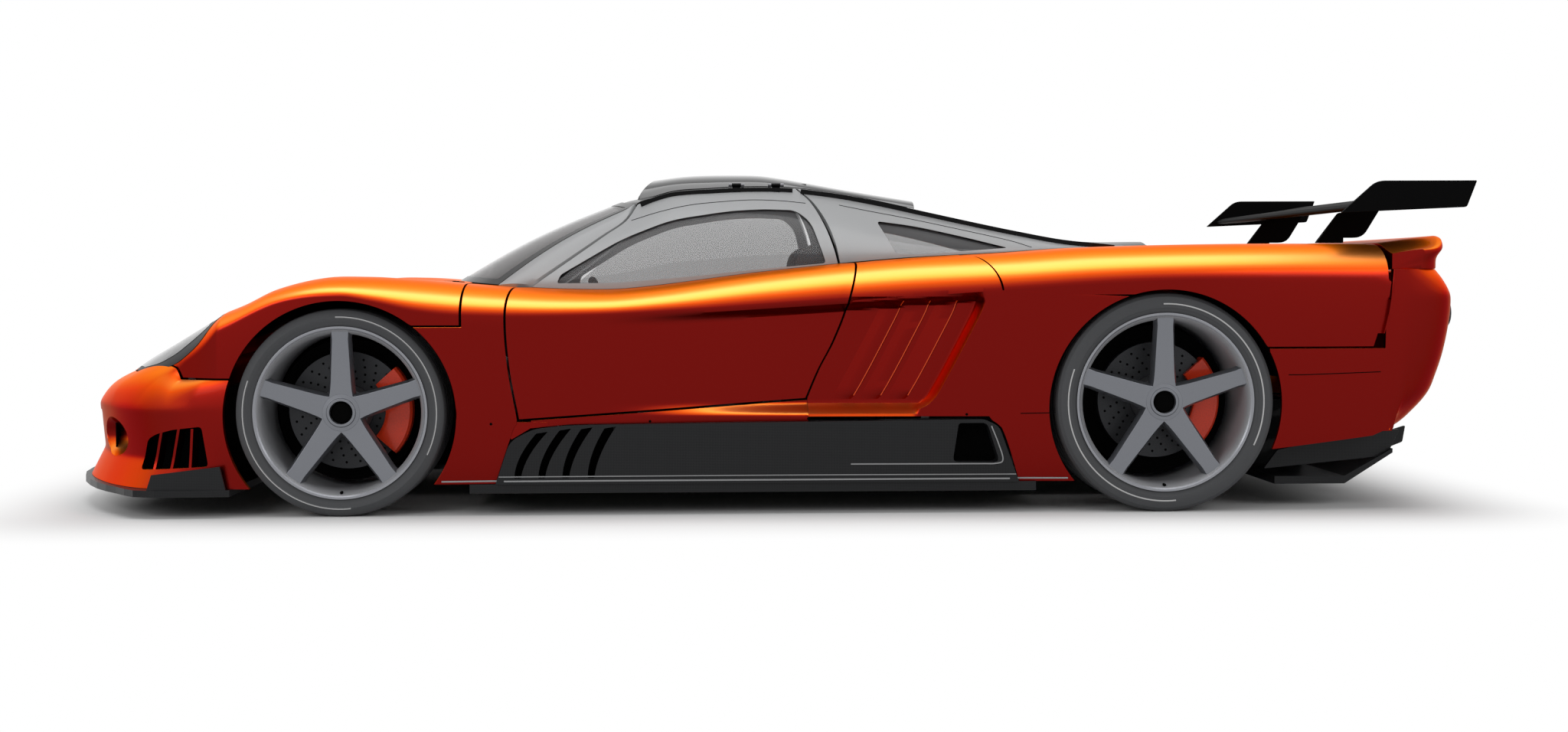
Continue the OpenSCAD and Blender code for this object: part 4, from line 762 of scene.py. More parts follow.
# three louvres in the hollow, parallel to its rear edge, each with a bright line along its edge, a painted
# highlight
vanes = []
for k in (1, 2, 3):
    rings = []
    for z in np.linspace(372, 706, 30):
        x = float(intake_rear(z)) - 90 * k
        rise = 9 * min(1, (z - 368) / 30, (712 - z) / 30)
        y80, y40, y0, y5 = (float(side_width(x - d, z)) for d in (80, 40, 0, -5))
        rings += [(x - 80, y80 - 2, z), (x - 40, y40 + rise * 0.4, z), (x - 1.5, y0 + rise, z),
            (x + 2, y0 + rise - 1, z), (x + 7, y5 - 2, z), (x - 20, y0 - 8, z)]
    vanes.append(new_mesh("v", *sided(np.array(rings), loft_faces(30, 6), "both", turn=False), PAINT, 30))
zs = np.linspace(384, 698, 12)
# the bright lines along the louvres' edges are painted highlight
for k in (1, 2, 3):
    highlight_path = np.stack([intake_rear(zs) - 90 * k + 1, zs], 1)
    vanes.append(strip("v", highlight_path, 3.2, EDGE_HIGHLIGHT, 1.4, surface=lambda x, z: side_width(x, z) + 8.6))
piece(join("intake_louvres", vanes))


# glasshouse behind the door
def quarter_glass_point(c, k):
    x = mix(cut_x(door_rear_high, k) + 8, GLASS_END, c)
    z0 = belt_z(x)
    z = mix(z0, np.maximum(curve(strip_z, x), z0 + 6), k)
    return xyz(x, glass_width(x, z), z)


g = quarter_glass_point(*grid(spans((0, 0.6, 40), (0.6, 1, 16)), np.linspace(1, 0, 36)))
frame_side = shell("glasshouse_side", g, 18, GREY, sides="both")
QWIN = rounded(pairs(424,972, 476,858, 560,853, 722,866, 880,878, 724,918, 560,955),
    [16, 14, 40, 40, 14, 60, 60])
for s in (-1, 1):
    cut(frame_side, prism("c", QWIN, *on_side(s, 300, 1100)))
piece(frame_side, ["cabin_frame"], 1.5)

# windscreen pillars
screen_foot = triples(-1071,0,765, -1060,150,765, -1041,300,764, -1003,450,762, -940,580,757, -874,668,752)
screen_head = triples(-484,0,1050, -482,80,1050, -474,160,1049, -460,240,1045, -440,310,1039, -418,376,1032)
SCREEN_IN = np.array([0.42, 0, -0.91])  # inwards from the windscreen


def screen_point(a, b):
    """The windscreen: a goes from the middle to the pillar, b from the foot to the head."""
    s = np.sin(np.pi * b)
    return mix(along(screen_foot, a), along(screen_head, a), b[..., None]) + xyz(-14 * s, 0, 16 * s)


b = np.linspace(0, 1, 30)
p = screen_point(np.ones(30), b) + xyz(0.2, 0.6, -b)
xr = cut_x(door_front_high, b) - 9.5
zr = cut_z(door_front_high, b) + 3 - 3 * b
q = xyz(xr, glass_width(xr, zr), zr)
v = np.linspace(0, 1, 7)[None, :, None]
g = mix(p[:, None], q[:, None], v) + np.sin(np.pi * v) * np.array([-4, 6, 4])
o = shell("windscreen_pillar", g, 18, GREY, inner=g + 18 * np.array([0.42, -0.2, -0.88]), sides="both")
piece(o, ["cabin_frame"], 1.5)

# windscreen, with a black band round its edge
b, a = grid(np.linspace(0, 1, 21), np.linspace(0, 1, 25))
g = mirror_half(screen_point(a, b))
o = shell("windscreen_glass", g, 6, SCREEN_TINT_AND_REFLECTION, inner=g + 6 * SCREEN_IN, angle=40)
piece(o, ["windscreen"])
rim = np.pad(np.zeros((18, 44), bool), ((1, 1), (2, 2)), constant_values=True)
o = shell("windscreen_band", g, 1, BLACK, keep=rim, inner=g + SCREEN_IN)
o.location = (-0.0008, 0, 0.0015)
piece(o)

# door and quarter glass, a little behind the frame
g = glass_point(*grid(np.linspace(0.05, 0.985, 40), np.linspace(0.97, 0.02, 30)))
g = g - 5 * normals(g)
for side in ("left", "right"):
    o = shell("door_window_" + side, g, 4, GLASS, sides=side)
    piece(o, ["door_glass_" + side], body=side + "_door")
g = quarter_glass_point(*grid(np.linspace(0.01, 0.58, 30), np.linspace(0.82, 0.02, 20)))
g = g - 6 * normals(g)
piece(shell("quarter_window", g, 4, GLASS, sides="both"), ["quarter_glass"])

# roof strip with the scoop
ROOF_FRONT, BEND = -412, -350  # the strip's front edge follows the windscreen's head up to BEND


def roof_edge(x):
    return curve(strip_y, x) - np.where(x < -400, DGAP + 1.4, np.where(x < 155, DGAP, SEAM))


def roof_top(x, y):
    return curve(strip_z, x) + 16 * (1 - (y / roof_edge(x)) ** 2)


x, k = grid(spans((ROOF_FRONT, BEND, 6), (BEND, 155, 30), (155, GLASS_END, 60)), np.linspace(-1, 1, 31))
y = k * roof_edge(x)
head = curve([[p[1], p[0] + 3.9] for p in screen_head], np.abs(y))
front = np.maximum(mix(head, x, (x - ROOF_FRONT) / 62), head)
g = xyz(np.where(x < BEND, front, x), y, roof_top(x, y))
o = shell("roof_strip", g, 16, BLACK, inner=g - np.array([0, 0, 16]))
piece(o, ["roof_panel"], 1.5)
x, k = grid(np.linspace(BEND, 600, 60), np.linspace(-1, 1, 41))
top = curve(scoop_z, x)
y = k * mix(250, 130, (x - BEND) / 950)
x = x - 70 * np.abs(k) ** 3 * step01(x / BEND)
z0 = roof_top(x, y) + 1.8
g = xyz(x, y, mix(z0, np.maximum(top, z0 + 10), (1 - np.abs(k) ** 3) ** 0.7))
h = g - 6 * normals(g)
h[:, 0] = g[:, 0] + [0, 6, 0]
h[:, -1] = g[:, -1] - [0, 6, 0]
piece(shell("scoop_skin", g, 6, SCOOP, inner=h), ["roof_scoop"], 1.5)
# a black block inside the scoop: painted shade in its mouth
o = prism("scoop_throat_shade", pairs(-300,1096, 200,1090, 200,1118, -300,1132), -150, 150, LINER_AND_SHADE)
piece(o)

# ---------- rear ----------
HATCH = 1480  # the lid's opening over the glasshouse ends here
TAIL_TOP, LID_REAR = 800, 538  # the bumper's top edge, and where the lid's lower edge ends


def rear_low(x):
    low = np.maximum(np.where(x < RX, 718, 545), arch_top(REAR_ARCH, x))
    return np.where(x > 2040, 588, low)


clam_rear_z = pairs(540,2030, 588,2062, 750,2090, 880,2098)
S = spans((0, 1, 12), (1, 2, 10), (2, 3, 18), (3, 4, 16))
SW = np.where(S <= 2, 1.0, np.where(S <= 3, S - 1, 2.0))
front = curve(pairs(0,701, 1,701, 1.35,748, 1.7,786, 2,803, 3,812), np.where(S <= 3, SW, S - 1))
tail_x = np.where(S <= 2, 2098.0, 2094.0)
stations = [mix(front, 840, u) for u in np.linspace(0, 1, 15)[:-1]]
stations += [np.full(len(S), x) for x in
    spans((840, 1222, 34), (1222, 1482, 26), (1482, 1640, 16), (1640, 1730, 16), (1730, 2024, 20))[:-1]]
stations += [mix(2024, tail_x, u) for u in np.linspace(0, 1, 9)]
X = np.array(stations)
last = np.maximum(0.0, (np.arange(len(X)) - (len(X) - 9)) / 8)[:, None]
s1 = S[None, :]
inner_y = np.where(X < HATCH, curve(belt_y, X) + 12, 210)
cy = curve(crest_y, X)
y = np.where(s1 <= 1, inner_y * s1, mix(inner_y, cy, clip01(s1 - 1)))
flat = bowed(X, y, curve(crest_z, X) + 6 * (1 - (y / cy) ** 2))
arc = body_point(X, np.clip(s1 - 1, 1, 2), 0)
zs = mix(curve(side_z, X), rear_low(X), clip01(s1 - 3))
sd = side_point(mix(X, curve(clam_rear_z, zs), last), zs)
g = mirror_half(np.where((s1 <= 2)[..., None], flat, np.where((s1 <= 3)[..., None], arc, sd)))
keep = all_faces(g)
m = g.shape[1] // 2
keep[:14 + 60, m - 12:m + 12] = False
piece(shell("engine_cover_skin", g, PANEL, PAINT, keep), ["rear_clamshell"], 2.0, "rear_lid")

tail_plan = pairs(2075,968, 2180,948, 2270,915, 2325,865, 2358,780, 2380,600, 2388,300, 2390,0)
tail_cut = pairs(200,290, 255,243, 270,188, 327,120, 386,71, 443,48, 518,25, 619,6, 690,0, 721,4, 765,28,
    800,56)


def tail_point(c, z):
    """The tail: c goes from the side to the middle."""
    x, y = (curve([[k, p[i]] for k, p in enumerate(tail_plan)], c * 7) for i in (0, 1))
    x = x - curve(tail_cut, z) * step01((x - 2075) / 240)
    return xyz(x, y * (1 - 0.035 * (np.maximum(768 - z, 0) / 600) ** 2), z)


z = spans((TAIL_TOP, LID_REAR, 26), (LID_REAR, 340, 20), (340, 262, 8))[None, :]
u = np.linspace(0, 1, 17)[:-1, None]
zz = np.where(z < 340, mix(205 + 45 * u, 340, (z - 262) / 78), z)
side = side_point(mix(arch_x(REAR_ARCH, np.minimum(zz, 530), 1), 2062, u), zz)
t = spans((0, 1 / 13, 6), (1 / 13, 10 / 13, 40), (10 / 13, 1, 16))[:, None]
tail = tail_point(t + 0 * z, z + 0 * t)
q = np.where(z > LID_REAR, curve(clam_rear_z, z) + 6.8, 0)
bulge = tail[..., 0] + 8 * clip01(1 - np.abs(t * 13 - 1))
tail[..., 0] = mix(bulge, np.maximum(tail[..., 0], q), clip01(1 - t * 13))
g = np.concatenate([side, tail])
g = np.concatenate([g, g[-2::-1] * MIRROR])
keep = all_faces(g)
LID_ROWS, MESH_ROWS, MESH_COLS = 26, 39, 62  # rows beside the lid, rows above the mesh, columns beside it
keep[:16, :LID_ROWS] = False
keep[-16:, :LID_ROWS] = False
keep[MESH_COLS:-MESH_COLS, MESH_ROWS:] = False
piece(shell("tail_skin", g, PANEL, PAINT, keep), ["rear_bumper"], 2.0)

# ducktail
DX, DZ = 2106, 800.3
ys = spans((0, 760, 24), (760, 930, 14))
tail_end = [[p[1], p[0]] for p in tail_plan[7:0:-1]]
prof = rounded(pairs(DX,DZ, 2326,DZ, 2326,848, 2356,888, 2350,909, 2332,915, 2223,905, DX,889),
    [1, 8, 20, 8, 6, 8, 60, 1], 4)
reach = (curve(tail_end, ys) - DX) / 284
drop = 0.45 * step01((ys - 760) / 200)
rings = np.array([[[DX + (p[0] - DX) * r, y, p[1] - (d * (p[1] - DZ) if p[1] > 801 else 0)] for p in prof]
    for y, r, d in zip(ys, reach, drop)])
rings = mirror_half(rings, 0)
o = new_mesh("ducktail_skin", rings.reshape(-1, 3), loft_faces(*rings.shape[:2]), PAINT, 32)
piece(o, ["ducktail"], 1.5)

# wing, end plates and pylons
BLADE = rounded(pairs(1990,1003, 2010,1000, 2120,1008, 2240,1030, 2350,1066, 2352,1072, 2230,1052, 2110,1036,
    2010,1022, 1990,1010), [3, 10, 60, 60, 2, 2, 60, 60, 12, 3])
piece(prism("wing_skin", BLADE, -865, 865, WING), ["wing"])
PLATE = rounded(pairs(1950,989, 2071,1096, 2410,1097, 2376,1008), [6, 26, 5, 8])
piece(prism("wing_plates", PLATE, 866, 880, WING, sides="both"), ["wing_end_plates"], 2.0)
PYLON = rounded(pairs(2094,914, 2094,896, 1996,896, 2078,1003, 2120,1007, 2232,1027, 2163,914),
    [2, 2, 6, 10, 10, 10, 30])
o = prism("wing_struts", PYLON, 444, 466, WING, sides="both")
piece(o, ["wing_pylons"], 3.0, seg=3)

# tail: lamps, strakes, mesh
lamps = []
for s in (-1, 1):
    for y in (520, 680):
        x = float(curve(tail_end, y - 52)) - 1.3
        for prof, mat in ((pairs(52,4, 52,-2, 40,-2, 40,4, 46,9), SATIN),
                (pairs(39.5,3, 39.5,-1, 0.01,-1, 0.01,8, 20,7.5, 34,5.5), LENS_RED)):
            o = lathe("l", prof, mat, (0, 0, 0), 48)
            o.rotation_euler = (0, 0, -math.pi / 2)
            o.location = (x * MM + 0.001, s * y * MM, 0.650)
            lamps.append(o)
bpy.context.view_layer.update()
piece(join("tail_lamp_set", lamps), ["tail_lamps"])
STRAKE = rounded(pairs(1992,78, 2290,192, 2300,250, 2150,205, 1992,106), 6)
OUTER = rounded(pairs(1713,126, 2137,168, 2180,259, 1992,240, 1760,190), 8)
strakes = [prism("s", STRAKE, y - 5, y + 5, CARBON, sides="both") for y in (130, 330, 530)]
strakes.append(prism("s", OUTER, 800, 812, CARBON, sides="both"))
piece(join("diffuser_strakes", strakes), (), 1.0)
o = prism("tail_mesh", pairs(2180,250, 2200,250, 2260,430, 2240,430), -560, 560, LINER_AND_SHADE)
piece(o)

# side pods: four curved slots and an outlet, each with a dark plate behind it as painted shade
POD_SIDE = 955
POD = pairs(-861,102, -814,243, -737,283, -620,295, 741,308, 790,285, 856,102)
OUTLET = pairs(636,168, 792,166, 750,296, 656,296)
pod = prism("pod_skin", rounded(POD, [2, 30, 30, 60, 12, 20, 2]), 865, POD_SIDE, CARBON, sides="both")
t = np.linspace(0, 1, 9)
for s in (-1, 1):
    y0, y1 = on_side(s, 880, 1000)
    for xb, xt, zt in ((-800, -728, 268), (-722, -652, 278), (-644, -582, 282), (-562, -506, 284)):
        lo = np.stack([mix(xb, xt, t ** 1.8), mix(122, zt, t)], 1)
        hi = lo + np.stack([mix(22, 38, t), 6 * t], 1)
        cut(pod, prism("c", rounded(np.concatenate([lo, hi[::-1]]), 3, 3), y0, y1))
    cut(pod, prism("c", rounded(OUTLET, [18, 22, 16, 10]), y0, y1))
piece(pod, ["side_pods"], 2.0)
# near black plates at the slots' floors: painted shade
pod_shade = [prism("p", p, 880.6, 884, LINER_AND_SHADE, sides="both") for p in
    (pairs(-836,112, -836,200, -740,276, -480,288, -480,112), rect(625, 800, 150, 300))]
piece(join("pod_shade_plates", pod_shade))


def pod_width(x, z):
    return np.where((x > -862) & (x < 858), POD_SIDE, side_width(x, z))


lips = [strip("l", pts, width, GREY, lift, surface=pod_width) for pts, width, lift in (
    (pairs(-1036,112, -600,113, 0,113, 600,113, 1020,112), 5, 2.0),
    (pairs(-850,127, 0,128, 846,127), 3, 1.6),
    (pairs(300,163, 700,162, 780,163, 802,176, 788,226, 764,286), 4, 1.6))]
piece(join("sill_lines", lips))

# ---------- wheels ----------
GROOVES, SPOKES, HOLES = 5, 5, 24


def tyre_profile(r, w, rim_r):
    """Section of a tyre: the tread at r with its grooves, and the sidewalls down to the rim."""
    m = (r + rim_r) / 2
    prof = [[rim_r - 12, -w + 20], [rim_r + 3, -w + 12], [m, -w + 1], [r - 14, -w + 5], [r - 4, -w + 14],
        [r, -w + 28]]
    for k in range(GROOVES):
        a = -w + 28 + (w - 56) * (k + 0.5) / GROOVES
        prof += [[r, a - 6], [r - 6, a - 5], [r - 6, a + 5], [r, a + 6]]
    return prof + [[r, -28], [r - 4, -14], [r - 14, -5], [m, -1], [rim_r + 16, -5], [rim_r + 13, -8],
        [rim_r + 3, -12], [rim_r - 12, -20]]


def spoke(k, s, c, rim_r):
    """Spoke k: narrower and shallower towards the rim, with a foot at the hub."""
    a = math.radians(90 + 360 / SPOKES * k)
    u = np.array([math.cos(a), 0, math.sin(a)])
    v = np.array([-math.sin(a), 0, math.cos(a)])
    vs, rows = [], 9
    for i in range(rows):
        q = i / (rows - 1)
        foot, head = (1 - min(q / 0.25, 1)) ** 2, max(0, (q - 0.9) / 0.1) ** 2
        hw = mix(35, 24, q) * (1 + 0.12 * foot + 0.14 * head)
        front, back = mix(-30, -20, q ** 1.5), mix(-66, -52, q)
        for dx, dy in ((-hw - 9, back), (-hw - 7, front - 14), (-hw, front), (hw, front), (hw + 7, front - 14),
                (hw + 9, back)):
            vs.append(u * mix(42, rim_r - 15, q) + v * dx + np.array([0, dy, 0]))
    return new_mesh("b", np.array(vs) * [1, s, 1] + np.array(c), loft_faces(rows, 6), SILVER, 30)


def disc_holes(s, c, yf):
    """Four rings of shallow dark octagons on the brake disc: painted shade standing in for drilled holes."""
    vs, f = [], []
    for ring, r in enumerate((108, 130, 152, 174)):
        for k in range(HOLES):
            a = FULL_TURN * (k + ring * 0.28) / HOLES
            n = len(vs)
            for y in (-167.4, -169):
                for j in range(8):
                    b = FULL_TURN * j / 8
                    vs.append((c[0] + math.cos(a) * r + 4.2 * math.cos(b), s * (yf + y),
                        c[2] + math.sin(a) * r + 4.2 * math.sin(b)))
            f += [tuple(n + i for i in q) for q in loft_faces(2, 8)]
    return new_mesh("d", vs, f, HOLE_SHADE_AND_SEAMS)


def wheel(tag, s, x, yf, r, w, rim_r, body, holder, hub_body):
    """Tyre, rim, disc, caliper and upright on the side s, -1 or 1.

    x, yf and r place the wheel's outer face; w is the tyre's width and rim_r the rim's radius. The piece that
    holds the wheel stands for the CAD node holder, and rides on hub_body.
    """
    c = (x, s * yf, r)

    def turned(prof, mat, n, centre=c):
        return lathe("b", prof, mat, centre, n, s)

    t = lathe("tyre_skin_" + tag, tyre_profile(r, w, rim_r), TYRE, c, 128, s, 30)
    piece(t, ["tyre_" + tag], body=body)
    ra = rim_r + 29
    for q, arc in enumerate(((-26, 92), (160, 276))):
        o = lathe("sidewall_line_%s_%d" % (tag, q), [[ra - 2.2, -4.8], [ra + 2.2, -4.2], [ra + 2.2, -0.9],
            [ra - 2.2, -1.3]], MARK, c, 48, s, 40, arc)
        piece(o, body=body)
    barrel = [[rim_r - 30, -w + 9], [rim_r - 1, -w + 9], [rim_r - 14, -w + 22], [rim_r - 15, -22],
        [rim_r - 2, -12], [rim_r - 8, -9], [rim_r - 14, -14], [rim_r - 24, -34], [rim_r - 27, -w + 30]]
    rim = [turned(barrel, BARREL, 128)] + [spoke(k, s, c, rim_r) for k in range(SPOKES)]
    rim += [turned(pairs(66,-74, 66,-36, 60,-29, 48,-28, 46,-24, 38,-24, 36,-30, 36,-74), SILVER, 64),
        turned(pairs(36,-60, 36,-40, 31,-34, 20,-33, 0.01,-33, 0.01,-60), HOLE_SHADE_AND_SEAMS, 48),
        turned([[rim_r - 8, -8.6], [rim_r - 0.5, -8], [rim_r, -11], [rim_r - 6, -16], [rim_r - 13, -13]],
            MACHINED, 128),
        turned(pairs(5,-34, 5,-18, 0.01,-18, 0.01,-34), HOLE_SHADE_AND_SEAMS, 16, (x, s * yf, r - rim_r + 22))]
    piece(join("rim_skin_" + tag, rim), ["rim_" + tag], 1.2, body)
    disc = [turned(pairs(85,-202, 194,-202, 195,-200, 195,-170, 194,-168, 85,-168), DISC, 96),
        turned(pairs(30,-170, 84,-170, 86,-120, 80,-76, 30,-76), STEEL, 64), disc_holes(s, c, yf)]
    piece(join("brake_disc_" + tag, disc), body=body)
    # caliper, rearward of the axle
    caliper = lathe("caliper_" + tag, pairs(126,-215, 206,-219, 214,-210, 214,-152, 206,-143, 140,-140,
        126,-146), CALIPER, c, 40, s, 30, (-42, 42))
    cut(caliper, turned(pairs(60,-204, 199,-204, 199,-166, 60,-166), None, 96))
    piece(caliper, (), 3.0, hub_body, 3)
    arm = rounded([[x + 28, r - 40], [x + 145, r - 46], [x + 145, r + 46], [x + 28, r + 40]], 10)
    post = rounded(rect(x - 38, x + 38, r - 125, r + 125), 16)
    upright = [prism("u", post, *on_side(s, yf - 245, yf - 209), STEEL),
        turned(pairs(27,-215, 27,-72, 22,-70, 0.01,-70, 0.01,-215), STEEL, 40),
        prism("u", arm, *on_side(s, yf - 243, yf - 209), STEEL),
        turned([[30, -206.6], [rim_r - 46, -206.6], [rim_r - 46, -204.8], [30, -204.8]], LINER_AND_SHADE, 64)]
    piece(join("upright_" + tag, upright), [holder], 1.5, hub_body)


for side, s in (("left", -1), ("right", 1)):
    wheel("front_" + side, s, FX, 965, FR, 275, 282, "wheel_front_" + side, "knuckle_front_" + side,
        side + "_knuckle")
    wheel("rear_" + side, s, RX, 977, RR, 335, 296, "wheel_rear_" + side, "rear_uprights", "chassis")

# arch liners, from the angle a0 on one side to the same on the other
for tag, (cx, r, cz), more, y0, y1, a0 in (("front", FRONT_ARCH, 14, 660, 940, 62),
        ("rear", REAR_ARCH, 12, 600, 950, 14)):
    r += more
    prof = [[r - 2, y0 - 6], [r + 2, y0 - 6], [r + 2, y1], [r - 2, y1]]
    liners = [lathe("l", prof, LINER_AND_SHADE, (cx, 0, cz), 60, s, 35, (a0, 180 - a0)) for s in (1, -1)]
    piece(join("arch_liner_" + tag, liners))

# dark walls behind the wheels: painted shade where the wells run back into the car
shade_walls = [prism("w", rounded(pts, 20), y0, y1, LINER_AND_SHADE, sides="both") for pts, y0, y1 in (
    (pairs(-1728,110, -1728,560, -1500,648, -1300,696, -1100,724, -965,736, -965,110), 303, 306),
    (pairs(930,110, 930,640, 1100,700, 1600,700, 1790,600, 1790,200), 596, 600))]
piece(join("wheel_well_shade", shade_walls))

# seams, black roof edges and small fasteners
seams = [strip("s", pairs(860,327, 920,328, 975,329), 3, HOLE_SHADE_AND_SEAMS),
    strip("s", pairs(1746,452, 1800,452, 1900,455, 2060,460), 3, HOLE_SHADE_AND_SEAMS)]
piece(join("side_seams", seams))
LINE = pairs(300,1030, 405,1009, 560,980, 720,946, 890,907, 970,880)
piece(strip("frame_line", LINE, 3, HOLE_SHADE_AND_SEAMS, surface=glass_width))


def black_edge(name, xs, below, width, sides, body):
    """A black band along the top of the glasshouse."""
    pts = np.stack([xs, curve(strip_z, xs) - below], 1)
    o = strip(name, pts, width, BLACK, 2.0, 4, surface=glass_width, sides=sides)
    piece(o, body=body)


black_edge("roof_edge", [166, 300, 450, 600, 780, 950, 1120, 1300], 16, 31, "both", "chassis")
LINE = pairs(-430,975, -330,1006, -223,1030, -110,1042, -9,1048, 90,1045, 180,1036)
for side in ("left", "right"):
    body = side + "_door"
    black_edge("door_top_edge_" + side, [-396, -350, -290, -220, -150, -60, 30, 90, 138], 14, 27, side, body)
    o = strip("door_line_" + side, LINE, 3, HOLE_SHADE_AND_SEAMS, surface=glass_width, sides=side)
    piece(o, body=body)
STUD = pairs(4.5,-3, 4.5,0.6, 3,1.4, 0.01,1.4, 0.01,-3)
studs = [lathe("s", STUD, HOLE_SHADE_AND_SEAMS, (x, s * float(side_width(x, z)), z), 16, s)
    for x, z in ((-874, 300), (-358, 305), (162, 311), (683, 324)) for s in (-1, 1)]
piece(join("side_studs", studs))
# dark boxes behind the lid's rear edge: painted shade in the bonnet's slots
slots = []
for y in range(90, 640, 55):
    x = float(curve(lid_rear, y)) - 44
    for s in (-1, 1):
        r = np.array([body_point(x + dx, (y + dy) / float(curve(crest_y, x)), 622) * [1, s, 1]
            for dx, dy in rect(-20, 20, -9, 9)])
        box = [(0, 1, 2, 3), (7, 6, 5, 4), (0, 4, 5, 1), (1, 5, 6, 2), (2, 6, 7, 3), (3, 7, 4, 0)]
        slots.append(new_mesh("l", np.concatenate([r + [0, 0, 0.9], r - [0, 0, 3]]), box, HOLE_SHADE_AND_SEAMS))
piece(join("bonnet_slot_shade", slots), body="front_lid")


# ---------- cabin ----------
def cushion(name, ring, y0, y1):
    """A crowned pad from a side outline: its sides pull in towards the ends, and at two seams."""
    p = rounded(ring, 26, 5)
    c = p.mean(0)
    cols = np.linspace(-1, 1, 25)
    rows = []
    for k in cols:
        s = (1 - abs(k) ** 4.5) ** 0.5 if abs(k) < 1 else 0.0
        q = c + (p - c) * (0.80 + 0.20 * s)
        rows.append(xyz(q[:, 0], mix(y0, y1, (k + 1) / 2), q[:, 1]))
    v = np.array(rows)
    for i in np.where(np.abs(np.abs(cols) - 0.62) < 0.05)[0]:
        v[i, :, [0, 2]] = (c + (v[i][:, [0, 2]] - c) * 0.95).T
    o = new_mesh(name, v.reshape(-1, 3), loft_faces(len(cols), len(p)), SEAT, 60)
    piece(o, ["seats"])


BASE = pairs(-425,150, -428,285, -380,320, 40,262, 60,180, 20,140)
BACK = pairs(50,250, 80,330, 165,870, 215,900, 255,865, 195,330, 150,200, 70,190)
SHELL = rounded(pairs(-400,103, -400,150, 30,150, 120,300, 190,300, 110,103), 12)
for side, s in (("left", -1), ("right", 1)):
    a, b = on_side(s, 110, 570)
    cushion("seat_base_" + side, BASE, a, b)
    cushion("seat_back_" + side, BACK, a + 8, b - 8)
    piece(prism("seat_shell_" + side, SHELL, a + 20, b - 20, CARBON), ["seats"], 3.0)

DASH = rounded(pairs(-904,520, -904,660, -840,688, -650,678, -622,650, -622,560, -760,480),
    [4, 20, 40, 40, 20, 20, 30])
piece(prism("dash_skin", DASH, -598, 598, DARK), ["dashboard"], 2.0)

# CAD nodes that stay get a material
for mat, nodes in ((CARBON, ("floor_tub", "front_splitter", "diffuser", "front_box", "rear_frame")),
        (STEEL, ("front_wishbones", "hinge_brackets", "front_lid_hinges", "rear_lid_hinges", "jack_pads")),
        (BLACK, ("door_hinge_left", "door_hinge_right")), (DISC, ("engine_block",)),
        (DARK, ("steering_wheel", "rear_bulkhead")), (CHROME, ("exhaust_tips",))):
    for n in nodes:
        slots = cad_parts[n].data.materials
        for i in range(len(slots)):
            slots[i] = mat
        if not slots:
            slots.append(mat)


# ---------- stage ----------
def seen_ray(nt):
    """1 for a ray from the camera, in a reflection or through glass, and 0 for light."""
    lp = node(nt, "LightPath")
    a, b, c = (lp.outputs["Is %s Ray" % k] for k in ("Camera", "Glossy", "Transmission"))
    return math_node(nt, "MAXIMUM", math_node(nt, "MAXIMUM", a, b), c)


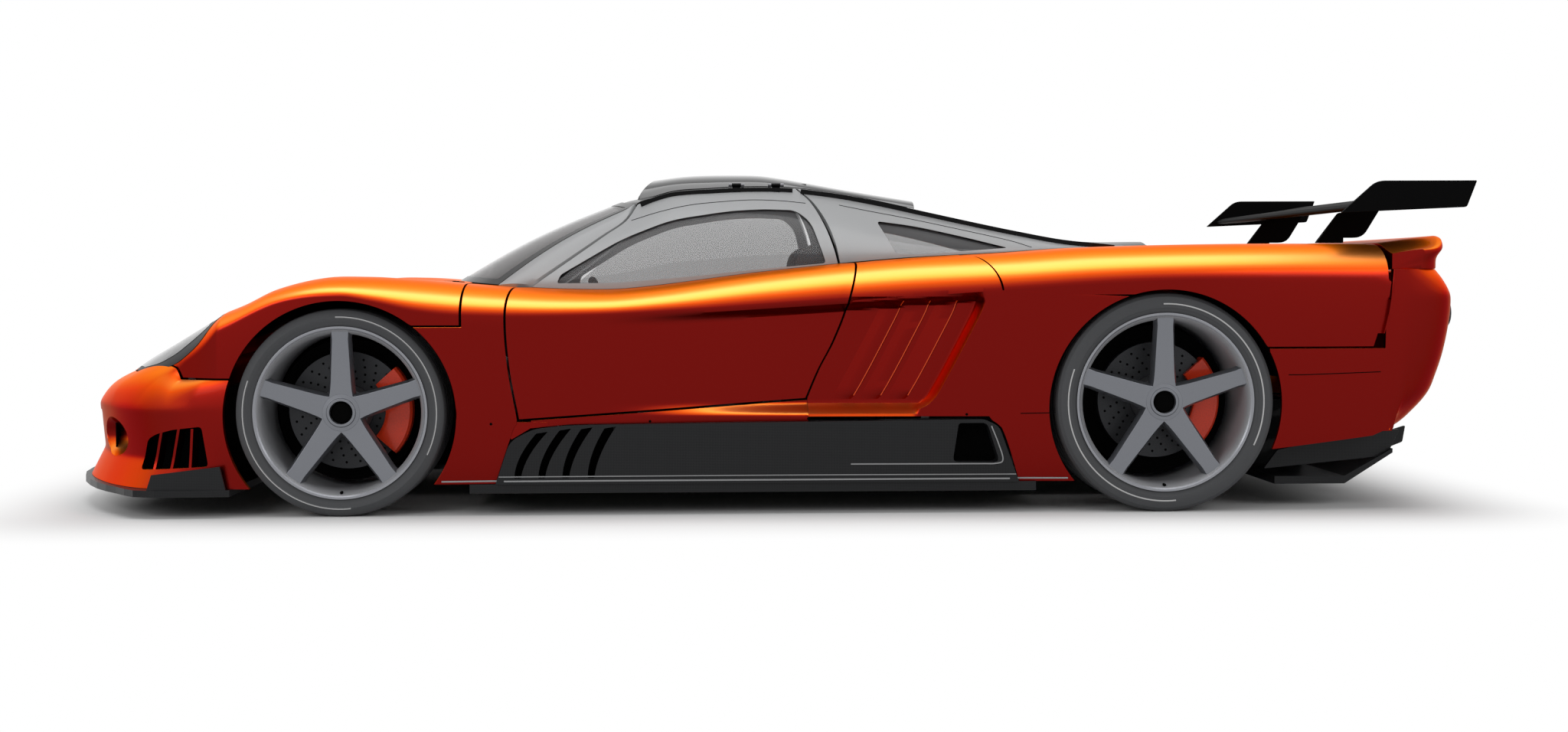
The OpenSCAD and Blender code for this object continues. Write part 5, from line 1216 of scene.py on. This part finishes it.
def emitter_floor():
    """A pale floor: plain, so shaded, under the car, and white by its own light away from it."""
    m, nt, b = material("studio_floor", (0.80, 0.80, 0.80), 0.9, spec=0.0)
    place = node(nt, "SeparateXYZ", {0: node(nt, "NewGeometry").outputs["Position"]})
    # distance from the car's outline, which is a box of this half size in metres
    dx, dy = (math_node(nt, "MAXIMUM", math_node(nt, "SUBTRACT", math_node(nt, "ABSOLUTE", place.outputs[k]),
        half), 0.0)
        for k, half in ((0, 2.05), (1, 0.90)))
    squares = [math_node(nt, "MULTIPLY", d, d) for d in (dx, dy)]
    d = math_node(nt, "SQRT", math_node(nt, "ADD", *squares))
    far = node(nt, "MapRange", {"From Max": 0.75, "Value": d}, interpolation_type="SMOOTHSTEP").outputs[0]
    white = node(nt, "Emission", {0: (1, 1, 1, 1)}).outputs[0]
    mixed = node(nt, "MixShader", {0: math_node(nt, "MULTIPLY", seen_ray(nt), far), 1: b.outputs[0], 2: white})
    nt.links.new(mixed.outputs[0], nt.nodes["Material Output"].inputs[0])
    return m


FLOOR = 40  # half the floor's width, metres
me = bpy.data.meshes.new("floor")
me.from_pydata([(x, y, 0) for x, y in rect(-FLOOR, FLOOR, -FLOOR, FLOOR)], [], [(0, 1, 2, 3)])
me.materials.append(emitter_floor())
placed("floor", me)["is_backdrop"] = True

# a white background to look at, and dimmer as a light
DIM = 0.34
w = bpy.data.worlds.new("studio")
bpy.context.scene.world = w
w.use_nodes = True
nt = w.node_tree
bg = nt.nodes["Background"]
mr = node(nt, "MapRange", {"To Min": DIM, "To Max": 1.0, "Value": seen_ray(nt)})
nt.links.new(mr.outputs[0], bg.inputs["Strength"])
bg.inputs["Color"].default_value = (1, 1, 1, 1)

for name, place, target, size, size_y, power in (
        ("overhead", (0, -0.4, 5.2), (0, 0, 0), 6.5, 3.6, 170),
        ("front_side", (-4.5, -5.5, 3.0), (-0.8, 0, 0.4), 3.0, 3.0, 90),
        ("rear_side", (4.6, -5.0, 3.2), (1.2, 0, 0.4), 3.0, 3.0, 60)):
    lamp = bpy.data.lights.new(name, "AREA")
    lamp.energy, lamp.shape, lamp.size, lamp.size_y = power, "RECTANGLE", size, size_y
    o = placed(name, lamp)
    o.location = place
    o.rotation_euler = (Vector(target) - Vector(place)).to_track_quat("-Z", "Y").to_euler()

# the camera, solved from the photograph's wheels and ground line
cam = bpy.data.cameras.new("camera")
cam.lens = 45.77
cam.sensor_width = 36
cam.sensor_fit = "HORIZONTAL"
co = placed("camera", cam)
yaw, pitch, roll = math.radians(2.65), math.radians(2.43), math.radians(-0.09)
d = Vector((math.sin(yaw) * math.cos(pitch), math.cos(yaw) * math.cos(pitch), -math.sin(pitch)))
co.rotation_euler = (d.to_track_quat("-Z", "Y").to_matrix() @ Matrix.Rotation(roll, 3, "Z")).to_euler()
co.location = (-0.2206, -7.463, 0.7623)
bpy.context.scene.camera = co
bpy.context.scene.view_settings.view_transform = "Standard"

lo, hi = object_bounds()
